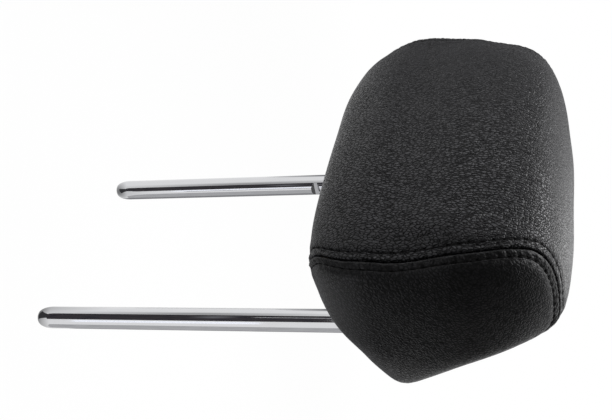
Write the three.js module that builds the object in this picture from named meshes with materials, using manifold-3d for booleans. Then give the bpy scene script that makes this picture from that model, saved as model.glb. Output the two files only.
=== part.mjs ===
// Car headrest: a moulded foam pad in a sewn leather cover, on a bent steel armature with two chromed posts.
//
// The frame is the one it has in the seat, in millimetres: +Z up along the posts, and -Y forward, the way
// the padded face looks. The origin is midway between the two posts, level with their lower ends.

import * as THREE from "three";
import { mergeVertices } from "three/addons/utils/BufferGeometryUtils.js";
import Module from "manifold-3d";

const wasm = await Module();
wasm.setup();

// Armature: one steel tube, bent to a U and cranked forward inside the pad
const POST_DIAMETER = 14;
const POST_SPACING = 140;
const NOSE_LENGTH = 10;
const NOSE_FLAT_RADIUS = 3.2;
const NOSE_STEPS = 5;
const CRANK_ANGLE = THREE.MathUtils.degToRad(30);
const CRANK_RADIUS = 25;
const CRANK_RISE = 44; // of the crank above the pad's lowest line
const BAR_RISE = 50; // of the cross bar above the crank, along the cranked legs
const BAR_CORNER_RADIUS = 28;
const NOTCH_HEIGHT = 157; // of the locking notch above the left post's end
const NOTCH_DEPTH = 2;
const NOTCH_FLOOR = 2.4;

// Pad: its side profile, measured from the post axis and from the pad's lowest line
const PAD_BASE = 196; // of the pad's lowest line above the post ends
const PAD_HEIGHT = 137;
const PAD_HALF_WIDTH = 123.4;
const FRONT_REACH = 86.5; // of the face ahead of the post axis, at the side seams
const FACE_SHAPE = [
  [11, 4],
  [1.5, 30],
  [2, 50.5],
  [0, 85],
]; // set back from the foremost line, and height above the lowest one
const FACE_TOP_CORNER = [10, 12.5]; // set back from the foremost line, and depth below the top
const TOP_FRONT_SETBACK = 34; // of the top's front and rear edges ahead of the post axis
const TOP_REAR_SETBACK = 14.5;
const TOP_REAR_DROP = 2;
const BACK_MIDDLE_RISE = 84; // of the place where the back crosses the post axis
const REAR_REACH = 19.5; // of the rear corner behind the post axis
const REAR_CORNER_RISE = 41;
const CLOSURE_SETBACK = 19; // of the underside's closure ahead of the post axis
const CLOSURE_RISE = 20;
const BELLY_SETBACK = 42.5; // of the lowest line ahead of the post axis
const BELLY_RISE = 1;
const FACE_CROWN = 12.6; // of the face's middle ahead of its side seams
const WIDEST_RISE = 39; // of the widest level above the lowest line

// Pad: how the profile fades into the sides
const SIDE_EXPONENT = 6.3;
const FRONT_EXPONENT = 14.5;
const REAR_EXPONENT = 8.2;
const FADE_HALF_RUN = 25; // ahead of the pad's centre and behind it
const CROWN_RUN = 50;
const TOP_TAPER = 0.235; // share of the half width lost at the top
const TOP_TAPER_POWER = 2.5;
const BOTTOM_TAPER = 0.21;
const REAR_TAPER = 0.125;
const REAR_TAPER_START = 16.5; // behind the foremost line
const REAR_TAPER_RUN = 90;
const SEAM_SHARE = 0.93; // share of the half width at which the side seams run
const HIDDEN_SEAM_SHARE = 0.86; // the same under and behind the pad
const SEAM_INWARD_TURN = [-120, -95]; // degrees round the side view in which the seam moves inward
const SEAM_OUTWARD_TURN = [50, 72]; // and back outward

// Cover and foam
const COVER_THICKNESS = 2.5;
const SEAM_GAP = 0.3;
const SEAM_SINK = 0.8; // of the panel edges where they turn in at a seam
const CLOSURE_GAP = 1.6;
const CLEARANCE = 0.3; // between any two pieces that touch

// Carrier: two plastic half shells screwed together round the cross bar
const CARRIER_HALF_DEPTH = 9.6;
const CARRIER_WALL = 2;
const CARRIER_SIDE_MARGIN = 16; // beyond the post axes
const CARRIER_BOTTOM = 22; // above the crank, along the legs
const CARRIER_TOP_MARGIN = 14; // above the cross bar's axis
const CARRIER_CORNER_RADIUS = 10;
const RIB_THICKNESS = 2.4;
const RIB_SPACING = 13;
const RIB_PAIRS = 1; // beside the middle rib
const SCREW_RADIUS = 1.9;
const SCREW_HEAD_RADIUS = 3.8;
const SCREW_HEAD_HEIGHT = 2.2;
const SCREW_LENGTH = 14;
const SCREW_POINT_LENGTH = 2;
const BOSS_RADIUS = 4.6;
const INNER_SCREW_X = 30;
const INNER_SCREW_BELOW_BAR = 17;
const OUTER_SCREW_MARGIN = 9; // in from the carrier's upper corners

// Post bezels: plastic collars that finish the post holes in the cover
const BEZEL_WALL = 1.7;
const BEZEL_FLANGE_ACROSS = 30;
const BEZEL_FLANGE_ALONG = 22;
const BEZEL_FLANGE_THICKNESS = 3;
const BEZEL_SLEEVE_LENGTH = 7.5;
const BEZEL_RIM_BEVEL = 0.8;

// Closure: two hooked plastic strips sewn to the cover's lower edges
const STRIP_HALF_LENGTH = 84;
const STRIP_WIDTH = 7.5;
const STRIP_THICKNESS = 1.2;
const HOOK_DEPTH = 3.2;
const STRIP_STATIONS = 8;

// Mesh fineness
const PROFILE_STEPS = 48;
const BAND_STEPS = 6; // from the middle to each seam
const SIDE_STEPS = 5; // from a seam to the side's middle
const BAND_CROWDING = 1.7; // of the steps towards the seams, where the surface turns the most
const SIDE_CROWDING = 2;
const CRANK_STEPS = 5;
const BAR_CORNER_STEPS = 8;
const TUBE_SIDES = 20;
const ROUND_SIDES = 28;
const SMALL_ROUND_SIDES = 16;
const CUT_MARGIN = 1; // of a cutting solid past the face that it opens

const POST_RADIUS = POST_DIAMETER / 2;
const HALF_SPACING = POST_SPACING / 2;
const CRANK_Z = PAD_BASE + CRANK_RISE;
const PAD_CENTRE = { y: -38, z: PAD_BASE + PAD_HEIGHT / 2 };

// Solids

/** A closed geometry as a solid that can be cut and joined. */
function toSolid(geometry) {
  const bare = geometry.index ? geometry.toNonIndexed() : geometry.clone();
  bare.deleteAttribute("normal");
  bare.deleteAttribute("uv");
  const merged = mergeVertices(bare, 1e-4);
  return new wasm.Manifold(
    new wasm.Mesh({
      numProp: 3,
      vertProperties: merged.attributes.position.array,
      triVerts: new Uint32Array(merged.index.array),
    }),
  );
}

/** A solid as a geometry for a mesh. */
function toGeometry(solid) {
  const mesh = solid.getMesh();
  const geometry = new THREE.BufferGeometry();
  const stride = mesh.numProp;
  const points = new Float32Array(mesh.numVert * 3);
  for (let i = 0; i < mesh.numVert; i++) {
    points.set(mesh.vertProperties.subarray(i * stride, i * stride + 3), i * 3);
  }
  geometry.setAttribute("position", new THREE.BufferAttribute(points, 3));
  geometry.setIndex(new THREE.BufferAttribute(mesh.triVerts, 1));
  geometry.computeVertexNormals();
  return geometry;
}

/** A closed geometry from points and faces of three or four corners, facing out. */
function fromFaces(points, faces) {
  const index = [];
  for (const [a, b, c, d] of faces) {
    index.push(a, b, c);
    if (d !== undefined) index.push(a, c, d);
  }
  const geometry = new THREE.BufferGeometry().setFromPoints(points);
  geometry.setIndex(index);
  return geometry;
}

/** An upright cylinder between two heights. */
function uprightCylinder(radius, low, high) {
  return new THREE.CylinderGeometry(radius, radius, high - low, ROUND_SIDES)
    .rotateX(Math.PI / 2)
    .translate(0, 0, (low + high) / 2);
}

// Pad surface

/** The pad's side profile at its middle: from the closure forward, up the face, over and down the back. */
const sideProfile = new THREE.CatmullRomCurve3(
  [
    [-CLOSURE_SETBACK, CLOSURE_RISE],
    [-BELLY_SETBACK, BELLY_RISE],
    ...FACE_SHAPE.map(([back, rise]) => [back - FRONT_REACH, rise]),
    [FACE_TOP_CORNER[0] - FRONT_REACH, PAD_HEIGHT - FACE_TOP_CORNER[1]],
    [-TOP_FRONT_SETBACK, PAD_HEIGHT],
    [-TOP_REAR_SETBACK, PAD_HEIGHT - TOP_REAR_DROP],
    [0, BACK_MIDDLE_RISE],
    [REAR_REACH, REAR_CORNER_RISE],
  ].map(([y, z]) => new THREE.Vector3(0, y, PAD_BASE + z)),
  true,
  "centripetal",
);

const smooth = (value, from, to) => THREE.MathUtils.smoothstep(value, from, to);

/** Half the pad's width at a place in its side view. */
function halfWidth(y, z) {
  const widest = PAD_BASE + WIDEST_RISE;
  const up = THREE.MathUtils.clamp((z - widest) / (PAD_HEIGHT - WIDEST_RISE), 0, 1.2);
  const down = THREE.MathUtils.clamp((widest - z) / WIDEST_RISE, 0, 1.2);
  const back = THREE.MathUtils.clamp((y + FRONT_REACH - REAR_TAPER_START) / REAR_TAPER_RUN, 0, 1);
  const taper = TOP_TAPER * up ** TOP_TAPER_POWER + BOTTOM_TAPER * down ** 2 + REAR_TAPER * back ** 2;
  return PAD_HALF_WIDTH * (1 - taper);
}

/** How squarely the profile turns into the sides: boxy at the face, softer at the back. */
function fadeExponent(profilePoint) {
  const back = smooth(profilePoint.y, PAD_CENTRE.y - FADE_HALF_RUN, PAD_CENTRE.y + FADE_HALF_RUN);
  return FRONT_EXPONENT + (REAR_EXPONENT - FRONT_EXPONENT) * back;
}

/** The share of the half width at which the seam runs, which moves inward under and behind the pad. */
function seamShare(profilePoint) {
  const turn = Math.atan2(profilePoint.z - PAD_CENTRE.z, profilePoint.y - PAD_CENTRE.y);
  const degrees = THREE.MathUtils.radToDeg(turn);
  const hidden = smooth(degrees, ...SEAM_INWARD_TURN) * (1 - smooth(degrees, ...SEAM_OUTWARD_TURN));
  return SEAM_SHARE + (HIDDEN_SEAM_SHARE - SEAM_SHARE) * hidden;
}

/**
 * A point of the pad's outer surface. `around` runs from 0 to 1 along the side profile. `across` runs from
 * -2 to 2: the band between the seams lies from -1 to 1, and each side's middle is at -2 or 2.
 */
function padSurface(around, across) {
  const profilePoint = sideProfile.getPointAt(around);
  const exponent = fadeExponent(profilePoint);
  const seam = seamShare(profilePoint);
  const seamRadial = (1 - seam ** SIDE_EXPONENT) ** (1 / exponent);
  const reach = Math.abs(across);
  let share = seam * reach;
  let radial = (1 - share ** SIDE_EXPONENT) ** (1 / exponent);
  if (reach > 1) {
    radial = seamRadial * (2 - reach);
    share = (1 - radial ** exponent) ** (1 / SIDE_EXPONENT);
  }
  const y = PAD_CENTRE.y + (profilePoint.y - PAD_CENTRE.y) * radial;
  const z = PAD_CENTRE.z + (profilePoint.z - PAD_CENTRE.z) * radial;
  const facing = THREE.MathUtils.clamp((PAD_CENTRE.y - profilePoint.y) / CROWN_RUN, 0, 1);
  const crown = FACE_CROWN * facing * (1 - share ** 2) * radial;
  return new THREE.Vector3(Math.sign(across) * share * halfWidth(y, z), y - crown, z);
}

/** The outward normal of the pad's surface. */
function padNormal(around, across) {
  if (Math.abs(across) > 1.999) return new THREE.Vector3(Math.sign(across), 0, 0);
  const step = 1e-3;
  const inward = Math.abs(across) > 1 ? Math.sign(across) : -Math.sign(across || 1);
  const here = padSurface(around, across);
  const alongBand = padSurface((around + step) % 1, across).sub(padSurface((around - step + 1) % 1, across));
  const acrossBand = padSurface(around, across + inward * step).sub(here).multiplyScalar(inward);
  return acrossBand.cross(alongBand).normalize();
}

const bandPlaces = Array.from({ length: 2 * BAND_STEPS + 1 }, (_, i) => {
  const share = i / BAND_STEPS - 1;
  return Math.sign(share) * (1 - (1 - Math.abs(share)) ** BAND_CROWDING);
});
const sidePlaces = Array.from({ length: SIDE_STEPS + 1 }, (_, i) => 1 + (i / SIDE_STEPS) ** SIDE_CROWDING);
const profileLength = sideProfile.getLength();
const closureShare = CLOSURE_GAP / 2 / profileLength;
const profilePlaces = Array.from(
  { length: PROFILE_STEPS },
  (_, i) => closureShare + ((1 - 2 * closureShare) * i) / (PROFILE_STEPS - 1),
);

/** A point at a depth under the pad's surface. At a seam the surface itself is sunk. */
function padPoint(around, across, depth) {
  const atSeam = Math.abs(Math.abs(across) - 1) < 1e-6;
  const sink = depth + (atSeam ? SEAM_SINK : 0);
  return padSurface(around, across).addScaledVector(padNormal(around, across), -sink);
}

/** The whole pad as one closed solid, at a depth under its surface. */
function padEnvelope(depth) {
  const rings = sidePlaces.slice(1, -1);
  const places = [...rings.map((place) => -place).reverse(), ...bandPlaces, ...rings];
  const points = profilePlaces.flatMap((u) => places.map((v) => padPoint(u, v, depth)));
  const columns = places.length;
  const left = points.push(padPoint(0, -2, depth)) - 1;
  const right = points.push(padPoint(0, 2, depth)) - 1;
  const faces = [];
  for (let i = 0; i < PROFILE_STEPS; i++) {
    const here = i * columns;
    const next = ((i + 1) % PROFILE_STEPS) * columns;
    for (let j = 0; j + 1 < columns; j++) {
      faces.push([here + j, here + j + 1, next + j + 1, next + j]);
    }
    faces.push([left, here, next], [right, next + columns - 1, here + columns - 1]);
  }
  return fromFaces(points, faces);
}

// Cover

/** The centre panel: one strip round face, top and back, whose two ends meet at the closure. */
function centrePanel() {
  const edge = 1 - SEAM_GAP / 2 / (SEAM_SHARE * PAD_HALF_WIDTH);
  const skins = [0, COVER_THICKNESS].map((depth) =>
    profilePlaces.map((u) =>
      bandPlaces.map((v) => {
        const atSeam = Math.abs(v) > 1 - 1e-6;
        const place = atSeam ? Math.sign(v) * edge : v;
        return padPoint(u, place, depth + (atSeam ? SEAM_SINK : 0));
      }),
    ),
  );
  const columns = bandPlaces.length;
  const points = skins.flat(2);
  const inner = PROFILE_STEPS * columns;
  const at = (skin, i, j) => skin * inner + i * columns + j;
  const faces = [];
  for (let i = 0; i + 1 < PROFILE_STEPS; i++) {
    for (let j = 0; j + 1 < columns; j++) {
      faces.push([at(0, i, j), at(0, i, j + 1), at(0, i + 1, j + 1), at(0, i + 1, j)]);
      faces.push([at(1, i, j), at(1, i + 1, j), at(1, i + 1, j + 1), at(1, i, j + 1)]);
    }
    faces.push([at(0, i, 0), at(0, i + 1, 0), at(1, i + 1, 0), at(1, i, 0)]);
    const j = columns - 1;
    faces.push([at(0, i, j), at(1, i, j), at(1, i + 1, j), at(0, i + 1, j)]);
  }
  const end = PROFILE_STEPS - 1;
  for (let j = 0; j + 1 < columns; j++) {
    faces.push([at(0, 0, j), at(1, 0, j), at(1, 0, j + 1), at(0, 0, j + 1)]);
    faces.push([at(0, end, j), at(0, end, j + 1), at(1, end, j + 1), at(1, end, j)]);
  }
  return fromFaces(points, faces);
}

/** A side panel: a cap sewn into the band's edge. `side` is 1 on the right and -1 on the left. */
function sidePanel(side) {
  const edge = 1 + SEAM_GAP / 2 / (SEAM_SHARE * PAD_HALF_WIDTH);
  const rings = sidePlaces.slice(0, -1);
  const skins = [0, COVER_THICKNESS].map((depth) =>
    profilePlaces.map((u) =>
      rings.map((v, k) => {
        const place = side * (k === 0 ? edge : v);
        return padPoint(u, place, depth + (k === 0 ? SEAM_SINK : 0));
      }),
    ),
  );
  const columns = rings.length;
  const points = skins.flat(2);
  const inner = PROFILE_STEPS * columns;
  const poles = [0, COVER_THICKNESS].map((depth) => points.push(padPoint(0, 2 * side, depth)) - 1);
  const at = (skin, i, j) => skin * inner + (i % PROFILE_STEPS) * columns + j;
  const faces = [];
  for (let i = 0; i < PROFILE_STEPS; i++) {
    for (let j = 0; j + 1 < columns; j++) {
      faces.push([at(0, i, j), at(0, i, j + 1), at(0, i + 1, j + 1), at(0, i + 1, j)]);
      faces.push([at(1, i, j), at(1, i + 1, j), at(1, i + 1, j + 1), at(1, i, j + 1)]);
    }
    const last = columns - 1;
    faces.push([at(0, i, last), poles[0], at(0, i + 1, last)]);
    faces.push([at(1, i, last), at(1, i + 1, last), poles[1]]);
    faces.push([at(0, i, 0), at(0, i + 1, 0), at(1, i + 1, 0), at(1, i, 0)]);
  }
  const facing = side > 0 ? faces : faces.map((face) => [...face].reverse());
  return fromFaces(points, facing);
}

// Armature

/** Points along an arc from one straight to the next, with the corner where the two straights meet. */
function bend(from, corner, to, radius, steps) {
  const back = from.clone().sub(corner).normalize();
  const ahead = to.clone().sub(corner).normalize();
  const half = back.angleTo(ahead) / 2;
  const centre = corner.clone().addScaledVector(back.clone().add(ahead).normalize(), radius / Math.sin(half));
  const start = corner.clone().addScaledVector(back, radius / Math.tan(half)).sub(centre);
  const end = corner.clone().addScaledVector(ahead, radius / Math.tan(half)).sub(centre);
  const sweep = start.angleTo(end);
  const axis = start.clone().cross(end).normalize();
  return Array.from({ length: steps + 1 }, (_, i) =>
    start.clone().applyAxisAngle(axis, (sweep * i) / steps).add(centre),
  );
}

/** The armature's centreline from the left post's end to the right post's. */
function armatureRoute() {
  const lean = new THREE.Vector3(0, -Math.sin(CRANK_ANGLE), Math.cos(CRANK_ANGLE));
  const corners = [-1, 1].map((side) => {
    const foot = new THREE.Vector3(side * HALF_SPACING, 0, 0);
    const crank = new THREE.Vector3(side * HALF_SPACING, 0, CRANK_Z);
    return { foot, crank, top: crank.clone().addScaledVector(lean, BAR_RISE) };
  });
  const [left, right] = corners;
  const rise = [
    ...bend(left.foot, left.crank, left.top, CRANK_RADIUS, CRANK_STEPS),
    ...bend(left.crank, left.top, right.top, BAR_CORNER_RADIUS, BAR_CORNER_STEPS),
  ];
  const fall = rise.map((p) => new THREE.Vector3(-p.x, p.y, p.z)).reverse();
  return { left, right, middle: [...rise, ...fall] };
}

/** A round tube's outside along the armature's route, with a bullet nose on each post. */
function armatureTube(radius) {
  const { left, right, middle } = armatureRoute();
  const noseRings = (foot) =>
    Array.from({ length: NOSE_STEPS + 1 }, (_, i) => {
      const turn = (Math.PI / 2) * (i / NOSE_STEPS);
      const height = NOSE_LENGTH * (1 - Math.cos(turn));
      const narrower = (POST_RADIUS - NOSE_FLAT_RADIUS) * (1 - Math.sin(turn));
      return { at: foot.clone().setZ(height), radius: radius - narrower };
    });
  const rings = [
    ...noseRings(left.foot),
    ...middle.map((at) => ({ at, radius })),
    ...noseRings(right.foot).reverse(),
  ];
  const sideways = new THREE.Vector3(0, Math.cos(CRANK_ANGLE / 2), Math.sin(CRANK_ANGLE / 2));
  const points = [];
  rings.forEach((ring, i) => {
    const before = rings[Math.max(i - 1, 0)].at;
    const after = rings[Math.min(i + 1, rings.length - 1)].at;
    const tangent = after.clone().sub(before).normalize();
    const first = sideways.clone().addScaledVector(tangent, -sideways.dot(tangent)).normalize();
    const second = tangent.clone().cross(first);
    for (let k = 0; k < TUBE_SIDES; k++) {
      const turn = (2 * Math.PI * (k + 0.5)) / TUBE_SIDES;
      const spoke = first.clone().multiplyScalar(Math.cos(turn)).addScaledVector(second, Math.sin(turn));
      points.push(ring.at.clone().addScaledVector(spoke, ring.radius));
    }
  });
  const faces = [];
  for (let i = 0; i + 1 < rings.length; i++) {
    for (let k = 0; k < TUBE_SIDES; k++) {
      const next = (k + 1) % TUBE_SIDES;
      const here = i * TUBE_SIDES;
      const ahead = here + TUBE_SIDES;
      faces.push([here + k, here + next, ahead + next, ahead + k]);
    }
  }
  const last = (rings.length - 1) * TUBE_SIDES;
  for (let k = 1; k + 1 < TUBE_SIDES; k++) {
    faces.push([0, k + 1, k], [last, last + k, last + k + 1]);
  }
  return fromFaces(points, faces);
}

/** The wedge that cuts the locking notch in the inner side of the left post. */
function notchCutter() {
  const outline = new THREE.Shape();
  const reach = NOTCH_DEPTH + CUT_MARGIN;
  outline.moveTo(0, -NOTCH_FLOOR / 2);
  outline.lineTo(0, NOTCH_FLOOR / 2);
  outline.lineTo(reach, NOTCH_FLOOR / 2 + reach);
  outline.lineTo(reach, -NOTCH_FLOOR / 2 - reach);
  return new THREE.ExtrudeGeometry(outline, { depth: POST_DIAMETER, bevelEnabled: false })
    .rotateX(Math.PI / 2)
    .translate(-HALF_SPACING + POST_RADIUS - NOTCH_DEPTH, POST_RADIUS, NOTCH_HEIGHT);
}

// Carrier, in the plane of the cranked legs: +Z up along the legs, +Y to the rear

const carrierPlane = new THREE.Matrix4()
  .makeRotationX(CRANK_ANGLE)
  .setPosition(0, 0, CRANK_Z);
const carrierHalfWidth = HALF_SPACING + CARRIER_SIDE_MARGIN;
const carrierTop = BAR_RISE + CARRIER_TOP_MARGIN;
const screwPlaces = [
  [-INNER_SCREW_X, BAR_RISE - INNER_SCREW_BELOW_BAR],
  [INNER_SCREW_X, BAR_RISE - INNER_SCREW_BELOW_BAR],
  [-(carrierHalfWidth - OUTER_SCREW_MARGIN), carrierTop - OUTER_SCREW_MARGIN],
  [carrierHalfWidth - OUTER_SCREW_MARGIN, carrierTop - OUTER_SCREW_MARGIN],
];

/** A slab with the carrier's rounded outline, drawn in by `inset`, between two depths. */
function carrierSlab(inset, front, rear) {
  const w = carrierHalfWidth - inset;
  const low = CARRIER_BOTTOM + inset;
  const high = carrierTop - inset;
  const r = CARRIER_CORNER_RADIUS - inset;
  const outline = new THREE.Shape();
  outline.moveTo(-w + r, low);
  outline.lineTo(w - r, low);
  outline.absarc(w - r, low + r, r, -Math.PI / 2, 0);
  outline.absarc(w - r, high - r, r, 0, Math.PI / 2);
  outline.absarc(-w + r, high - r, r, Math.PI / 2, Math.PI);
  outline.absarc(-w + r, low + r, r, Math.PI, 1.5 * Math.PI);
  return new THREE.ExtrudeGeometry(outline, { depth: rear - front, bevelEnabled: false, curveSegments: 4 })
    .rotateX(Math.PI / 2)
    .translate(0, rear, 0);
}

/** A rod across the carrier's plane, between two depths. */
function crossRod(radius, front, rear, x, z) {
  const middle = (front + rear) / 2;
  return new THREE.CylinderGeometry(radius, radius, rear - front, SMALL_ROUND_SIDES).translate(x, middle, z);
}

/** One half shell: a walled tray with saddle ribs and screw bosses. `side` is -1 in front and 1 behind. */
function carrierShell(side, tubeRoom) {
  const depths = (a, b) => (side > 0 ? [a, b] : [-b, -a]);
  const split = CLEARANCE / 2;
  const floor = CARRIER_HALF_DEPTH - CARRIER_WALL;
  const insideWall = CARRIER_HALF_DEPTH - CARRIER_WALL / 2;
  let shell = toSolid(carrierSlab(0, ...depths(split, CARRIER_HALF_DEPTH)));
  shell = shell.subtract(toSolid(carrierSlab(CARRIER_WALL, ...depths(split - CUT_MARGIN, floor))));
  const ribHeight = carrierTop - CARRIER_BOTTOM - CARRIER_WALL;
  const ribMiddle = (carrierTop + CARRIER_BOTTOM) / 2;
  for (let k = -RIB_PAIRS; k <= RIB_PAIRS; k++) {
    const rib = new THREE.BoxGeometry(RIB_THICKNESS, insideWall - split, ribHeight);
    shell = shell.add(toSolid(rib.translate(k * RIB_SPACING, (side * (split + insideWall)) / 2, ribMiddle)));
  }
  for (const [x, z] of screwPlaces) {
    shell = shell.add(toSolid(crossRod(BOSS_RADIUS, ...depths(split, insideWall), x, z)));
  }
  const screwTip = SCREW_LENGTH - (CARRIER_HALF_DEPTH - SCREW_HEAD_HEIGHT);
  const holeEnd = side > 0 ? CARRIER_HALF_DEPTH + CUT_MARGIN : screwTip + CLEARANCE;
  for (const [x, z] of screwPlaces) {
    const hole = crossRod(SCREW_RADIUS + CLEARANCE, ...depths(-CUT_MARGIN, holeEnd), x, z);
    shell = shell.subtract(toSolid(hole));
    if (side > 0) {
      const seat = CARRIER_HALF_DEPTH - SCREW_HEAD_HEIGHT - CLEARANCE;
      const room = crossRod(SCREW_HEAD_RADIUS + CLEARANCE, seat, CARRIER_HALF_DEPTH + CUT_MARGIN, x, z);
      shell = shell.subtract(toSolid(room));
    }
  }
  return toGeometry(shell.subtract(tubeRoom));
}

/** A pan-head screw that points forward, with its head's underside at the origin. */
function screwGeometry() {
  const profile = [
    [0, -SCREW_LENGTH],
    [SCREW_RADIUS / 2, -SCREW_LENGTH],
    [SCREW_RADIUS, -SCREW_LENGTH + SCREW_POINT_LENGTH],
    [SCREW_RADIUS, 0],
    [SCREW_HEAD_RADIUS, 0],
    [SCREW_HEAD_RADIUS, SCREW_HEAD_HEIGHT / 2],
    [SCREW_HEAD_RADIUS - SCREW_HEAD_HEIGHT / 2, SCREW_HEAD_HEIGHT],
    [0, SCREW_HEAD_HEIGHT],
  ].map(([r, y]) => new THREE.Vector2(r, y));
  return new THREE.LatheGeometry(profile, SMALL_ROUND_SIDES);
}

// Bezels

/** The place along the profile, behind the closure, where the pad's underside crosses the post axis. */
function undersideAtPosts() {
  let [low, high] = [0.8, 1];
  for (let i = 0; i < 40; i++) {
    const middle = (low + high) / 2;
    if (sideProfile.getPointAt(middle).y > 0) low = middle;
    else high = middle;
  }
  return (low + high) / 2;
}

const undersidePlace = undersideAtPosts();
const undersideZ = sideProfile.getPointAt(undersidePlace).z;
const undersideRun = sideProfile.getTangentAt(undersidePlace);
const undersideSlope = Math.atan2(-undersideRun.z, -undersideRun.y);
const sleeveRadius = POST_RADIUS + CLEARANCE + BEZEL_WALL;
const sleeveTop = undersideZ + BEZEL_SLEEVE_LENGTH;
const bezelLow = undersideZ - BEZEL_FLANGE_ALONG; // safely under the tilted flange

/** A post bezel at its post, seated on the sloping underside. */
function bezelGeometry(side, padOutside) {
  const outline = new THREE.Shape();
  outline.absellipse(0, 0, BEZEL_FLANGE_ACROSS / 2, BEZEL_FLANGE_ALONG / 2, 0, 2 * Math.PI);
  const flange = new THREE.ExtrudeGeometry(outline, {
    depth: 2 * BEZEL_FLANGE_THICKNESS,
    curveSegments: ROUND_SIDES / 2,
    bevelThickness: BEZEL_RIM_BEVEL,
    bevelSize: BEZEL_RIM_BEVEL,
    bevelOffset: -BEZEL_RIM_BEVEL,
    bevelSegments: 1,
  });
  flange.translate(0, 0, BEZEL_RIM_BEVEL - BEZEL_FLANGE_THICKNESS).rotateX(undersideSlope);
  flange.translate(side * HALF_SPACING, 0, undersideZ);
  const sleeve = uprightCylinder(sleeveRadius, undersideZ - BEZEL_FLANGE_THICKNESS / 2, sleeveTop);
  const bore = uprightCylinder(POST_RADIUS + CLEARANCE, bezelLow, sleeveTop + CUT_MARGIN);
  for (const piece of [sleeve, bore]) piece.translate(side * HALF_SPACING, 0, 0);
  return toGeometry(toSolid(flange).subtract(padOutside).add(toSolid(sleeve)).subtract(toSolid(bore)));
}

// Closure strips

/** The section of each strip: the distance behind the closure, and the distance out from the cover. */
function stripSections() {
  const plate = STRIP_THICKNESS;
  const channel = plate + 2 * CLEARANCE;
  const roof = HOOK_DEPTH + CLEARANCE;
  const front = [
    [-STRIP_WIDTH, 0],
    [CLEARANCE + plate, 0],
    [CLEARANCE + plate, HOOK_DEPTH],
    [CLEARANCE, HOOK_DEPTH],
    [CLEARANCE, plate],
    [-STRIP_WIDTH, plate],
  ];
  const rear = [
    [STRIP_WIDTH, 0],
    [STRIP_WIDTH, plate],
    [channel + plate, plate],
    [channel + plate, roof + plate],
    [-plate, roof + plate],
    [-plate, plate + CLEARANCE],
    [0, plate + CLEARANCE],
    [0, roof],
    [channel, roof],
    [channel, 0],
  ];
  return { front, rear };
}

/** A strip of the given section that follows the closure across the underside. */
function closureStrip(section) {
  const outline = section.map(([behind, out]) => new THREE.Vector2(behind, out));
  const seamX = padSurface(0, 1).x;
  const points = [];
  for (let k = 0; k <= STRIP_STATIONS; k++) {
    const across = ((2 * k) / STRIP_STATIONS - 1) * (STRIP_HALF_LENGTH / seamX);
    for (const { x: behind, y: out } of outline) {
      const around = (1 - behind / profileLength) % 1;
      points.push(padPoint(around, across, -CLEARANCE - out));
    }
  }
  const corners = outline.length;
  const faces = [];
  for (let k = 0; k < STRIP_STATIONS; k++) {
    for (let c = 0; c < corners; c++) {
      const here = k * corners;
      const next = (c + 1) % corners;
      faces.push([here + c, here + next, here + corners + next, here + corners + c]);
    }
  }
  const end = STRIP_STATIONS * corners;
  for (const [a, b, c] of THREE.ShapeUtils.triangulateShape(outline, [])) {
    faces.push([a, c, b], [end + a, end + b, end + c]);
  }
  const turn = THREE.ShapeUtils.area(outline) < 0 ? faces : faces.map((face) => [...face].reverse());
  return fromFaces(points, turn);
}

// Finishes

const leather = new THREE.MeshStandardMaterial({ color: 0x1c1c1d, roughness: 0.55, metalness: 0 });
const chrome = new THREE.MeshStandardMaterial({ color: 0xd8dadd, roughness: 0.08, metalness: 1 });
const foam = new THREE.MeshStandardMaterial({ color: 0xd9cfa8, roughness: 0.95, metalness: 0 });
const carrierPlastic = new THREE.MeshStandardMaterial({ color: 0x2b2b2d, roughness: 0.6, metalness: 0 });
const trimPlastic = new THREE.MeshStandardMaterial({ color: 0x171718, roughness: 0.45, metalness: 0 });
const zinc = new THREE.MeshStandardMaterial({ color: 0xb9bcc2, roughness: 0.35, metalness: 1 });

// Assembly

const headrest = new THREE.Group();

/** Adds a named mesh to a group. */
function add(name, geometry, material, group = headrest) {
  const mesh = new THREE.Mesh(geometry, material);
  mesh.name = name;
  group.add(mesh);
  return mesh;
}

add("armature", toGeometry(toSolid(armatureTube(POST_RADIUS)).subtract(toSolid(notchCutter()))), chrome);

const carrier = new THREE.Group();
carrier.applyMatrix4(carrierPlane);
headrest.add(carrier);
const tubeRoom = toSolid(armatureTube(POST_RADIUS + CLEARANCE));
const tubeRoomInCarrier = tubeRoom.transform(carrierPlane.clone().invert().elements);
add("carrier_front", carrierShell(-1, tubeRoomInCarrier), carrierPlastic, carrier);
add("carrier_rear", carrierShell(1, tubeRoomInCarrier), carrierPlastic, carrier);
screwPlaces.forEach(([x, z], i) => {
  const screw = add(`carrier_screw_${i + 1}`, screwGeometry(), zinc, carrier);
  screw.position.set(x, CARRIER_HALF_DEPTH - SCREW_HEAD_HEIGHT, z);
});

const sleeveRooms = [-1, 1].map((side) =>
  toSolid(
    uprightCylinder(sleeveRadius + CLEARANCE, bezelLow, sleeveTop + CLEARANCE)
      .translate(side * HALF_SPACING, 0, 0),
  ),
);
const carrierRoom = toSolid(
  carrierSlab(-CLEARANCE, -CARRIER_HALF_DEPTH - CLEARANCE, CARRIER_HALF_DEPTH + CLEARANCE),
).transform(carrierPlane.elements);

let pad = toSolid(padEnvelope(COVER_THICKNESS + CLEARANCE));
for (const room of [tubeRoom, carrierRoom, ...sleeveRooms]) pad = pad.subtract(room);
add("foam_pad", toGeometry(pad), foam);

let band = toSolid(centrePanel());
for (const room of sleeveRooms) band = band.subtract(room);
add("centre_panel", toGeometry(band), leather);
add("side_panel_left", sidePanel(-1), leather);
add("side_panel_right", sidePanel(1), leather);

const padOutside = toSolid(padEnvelope(-CLEARANCE));
add("post_bezel_left", bezelGeometry(-1, padOutside), trimPlastic);
add("post_bezel_right", bezelGeometry(1, padOutside), trimPlastic);

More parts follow.
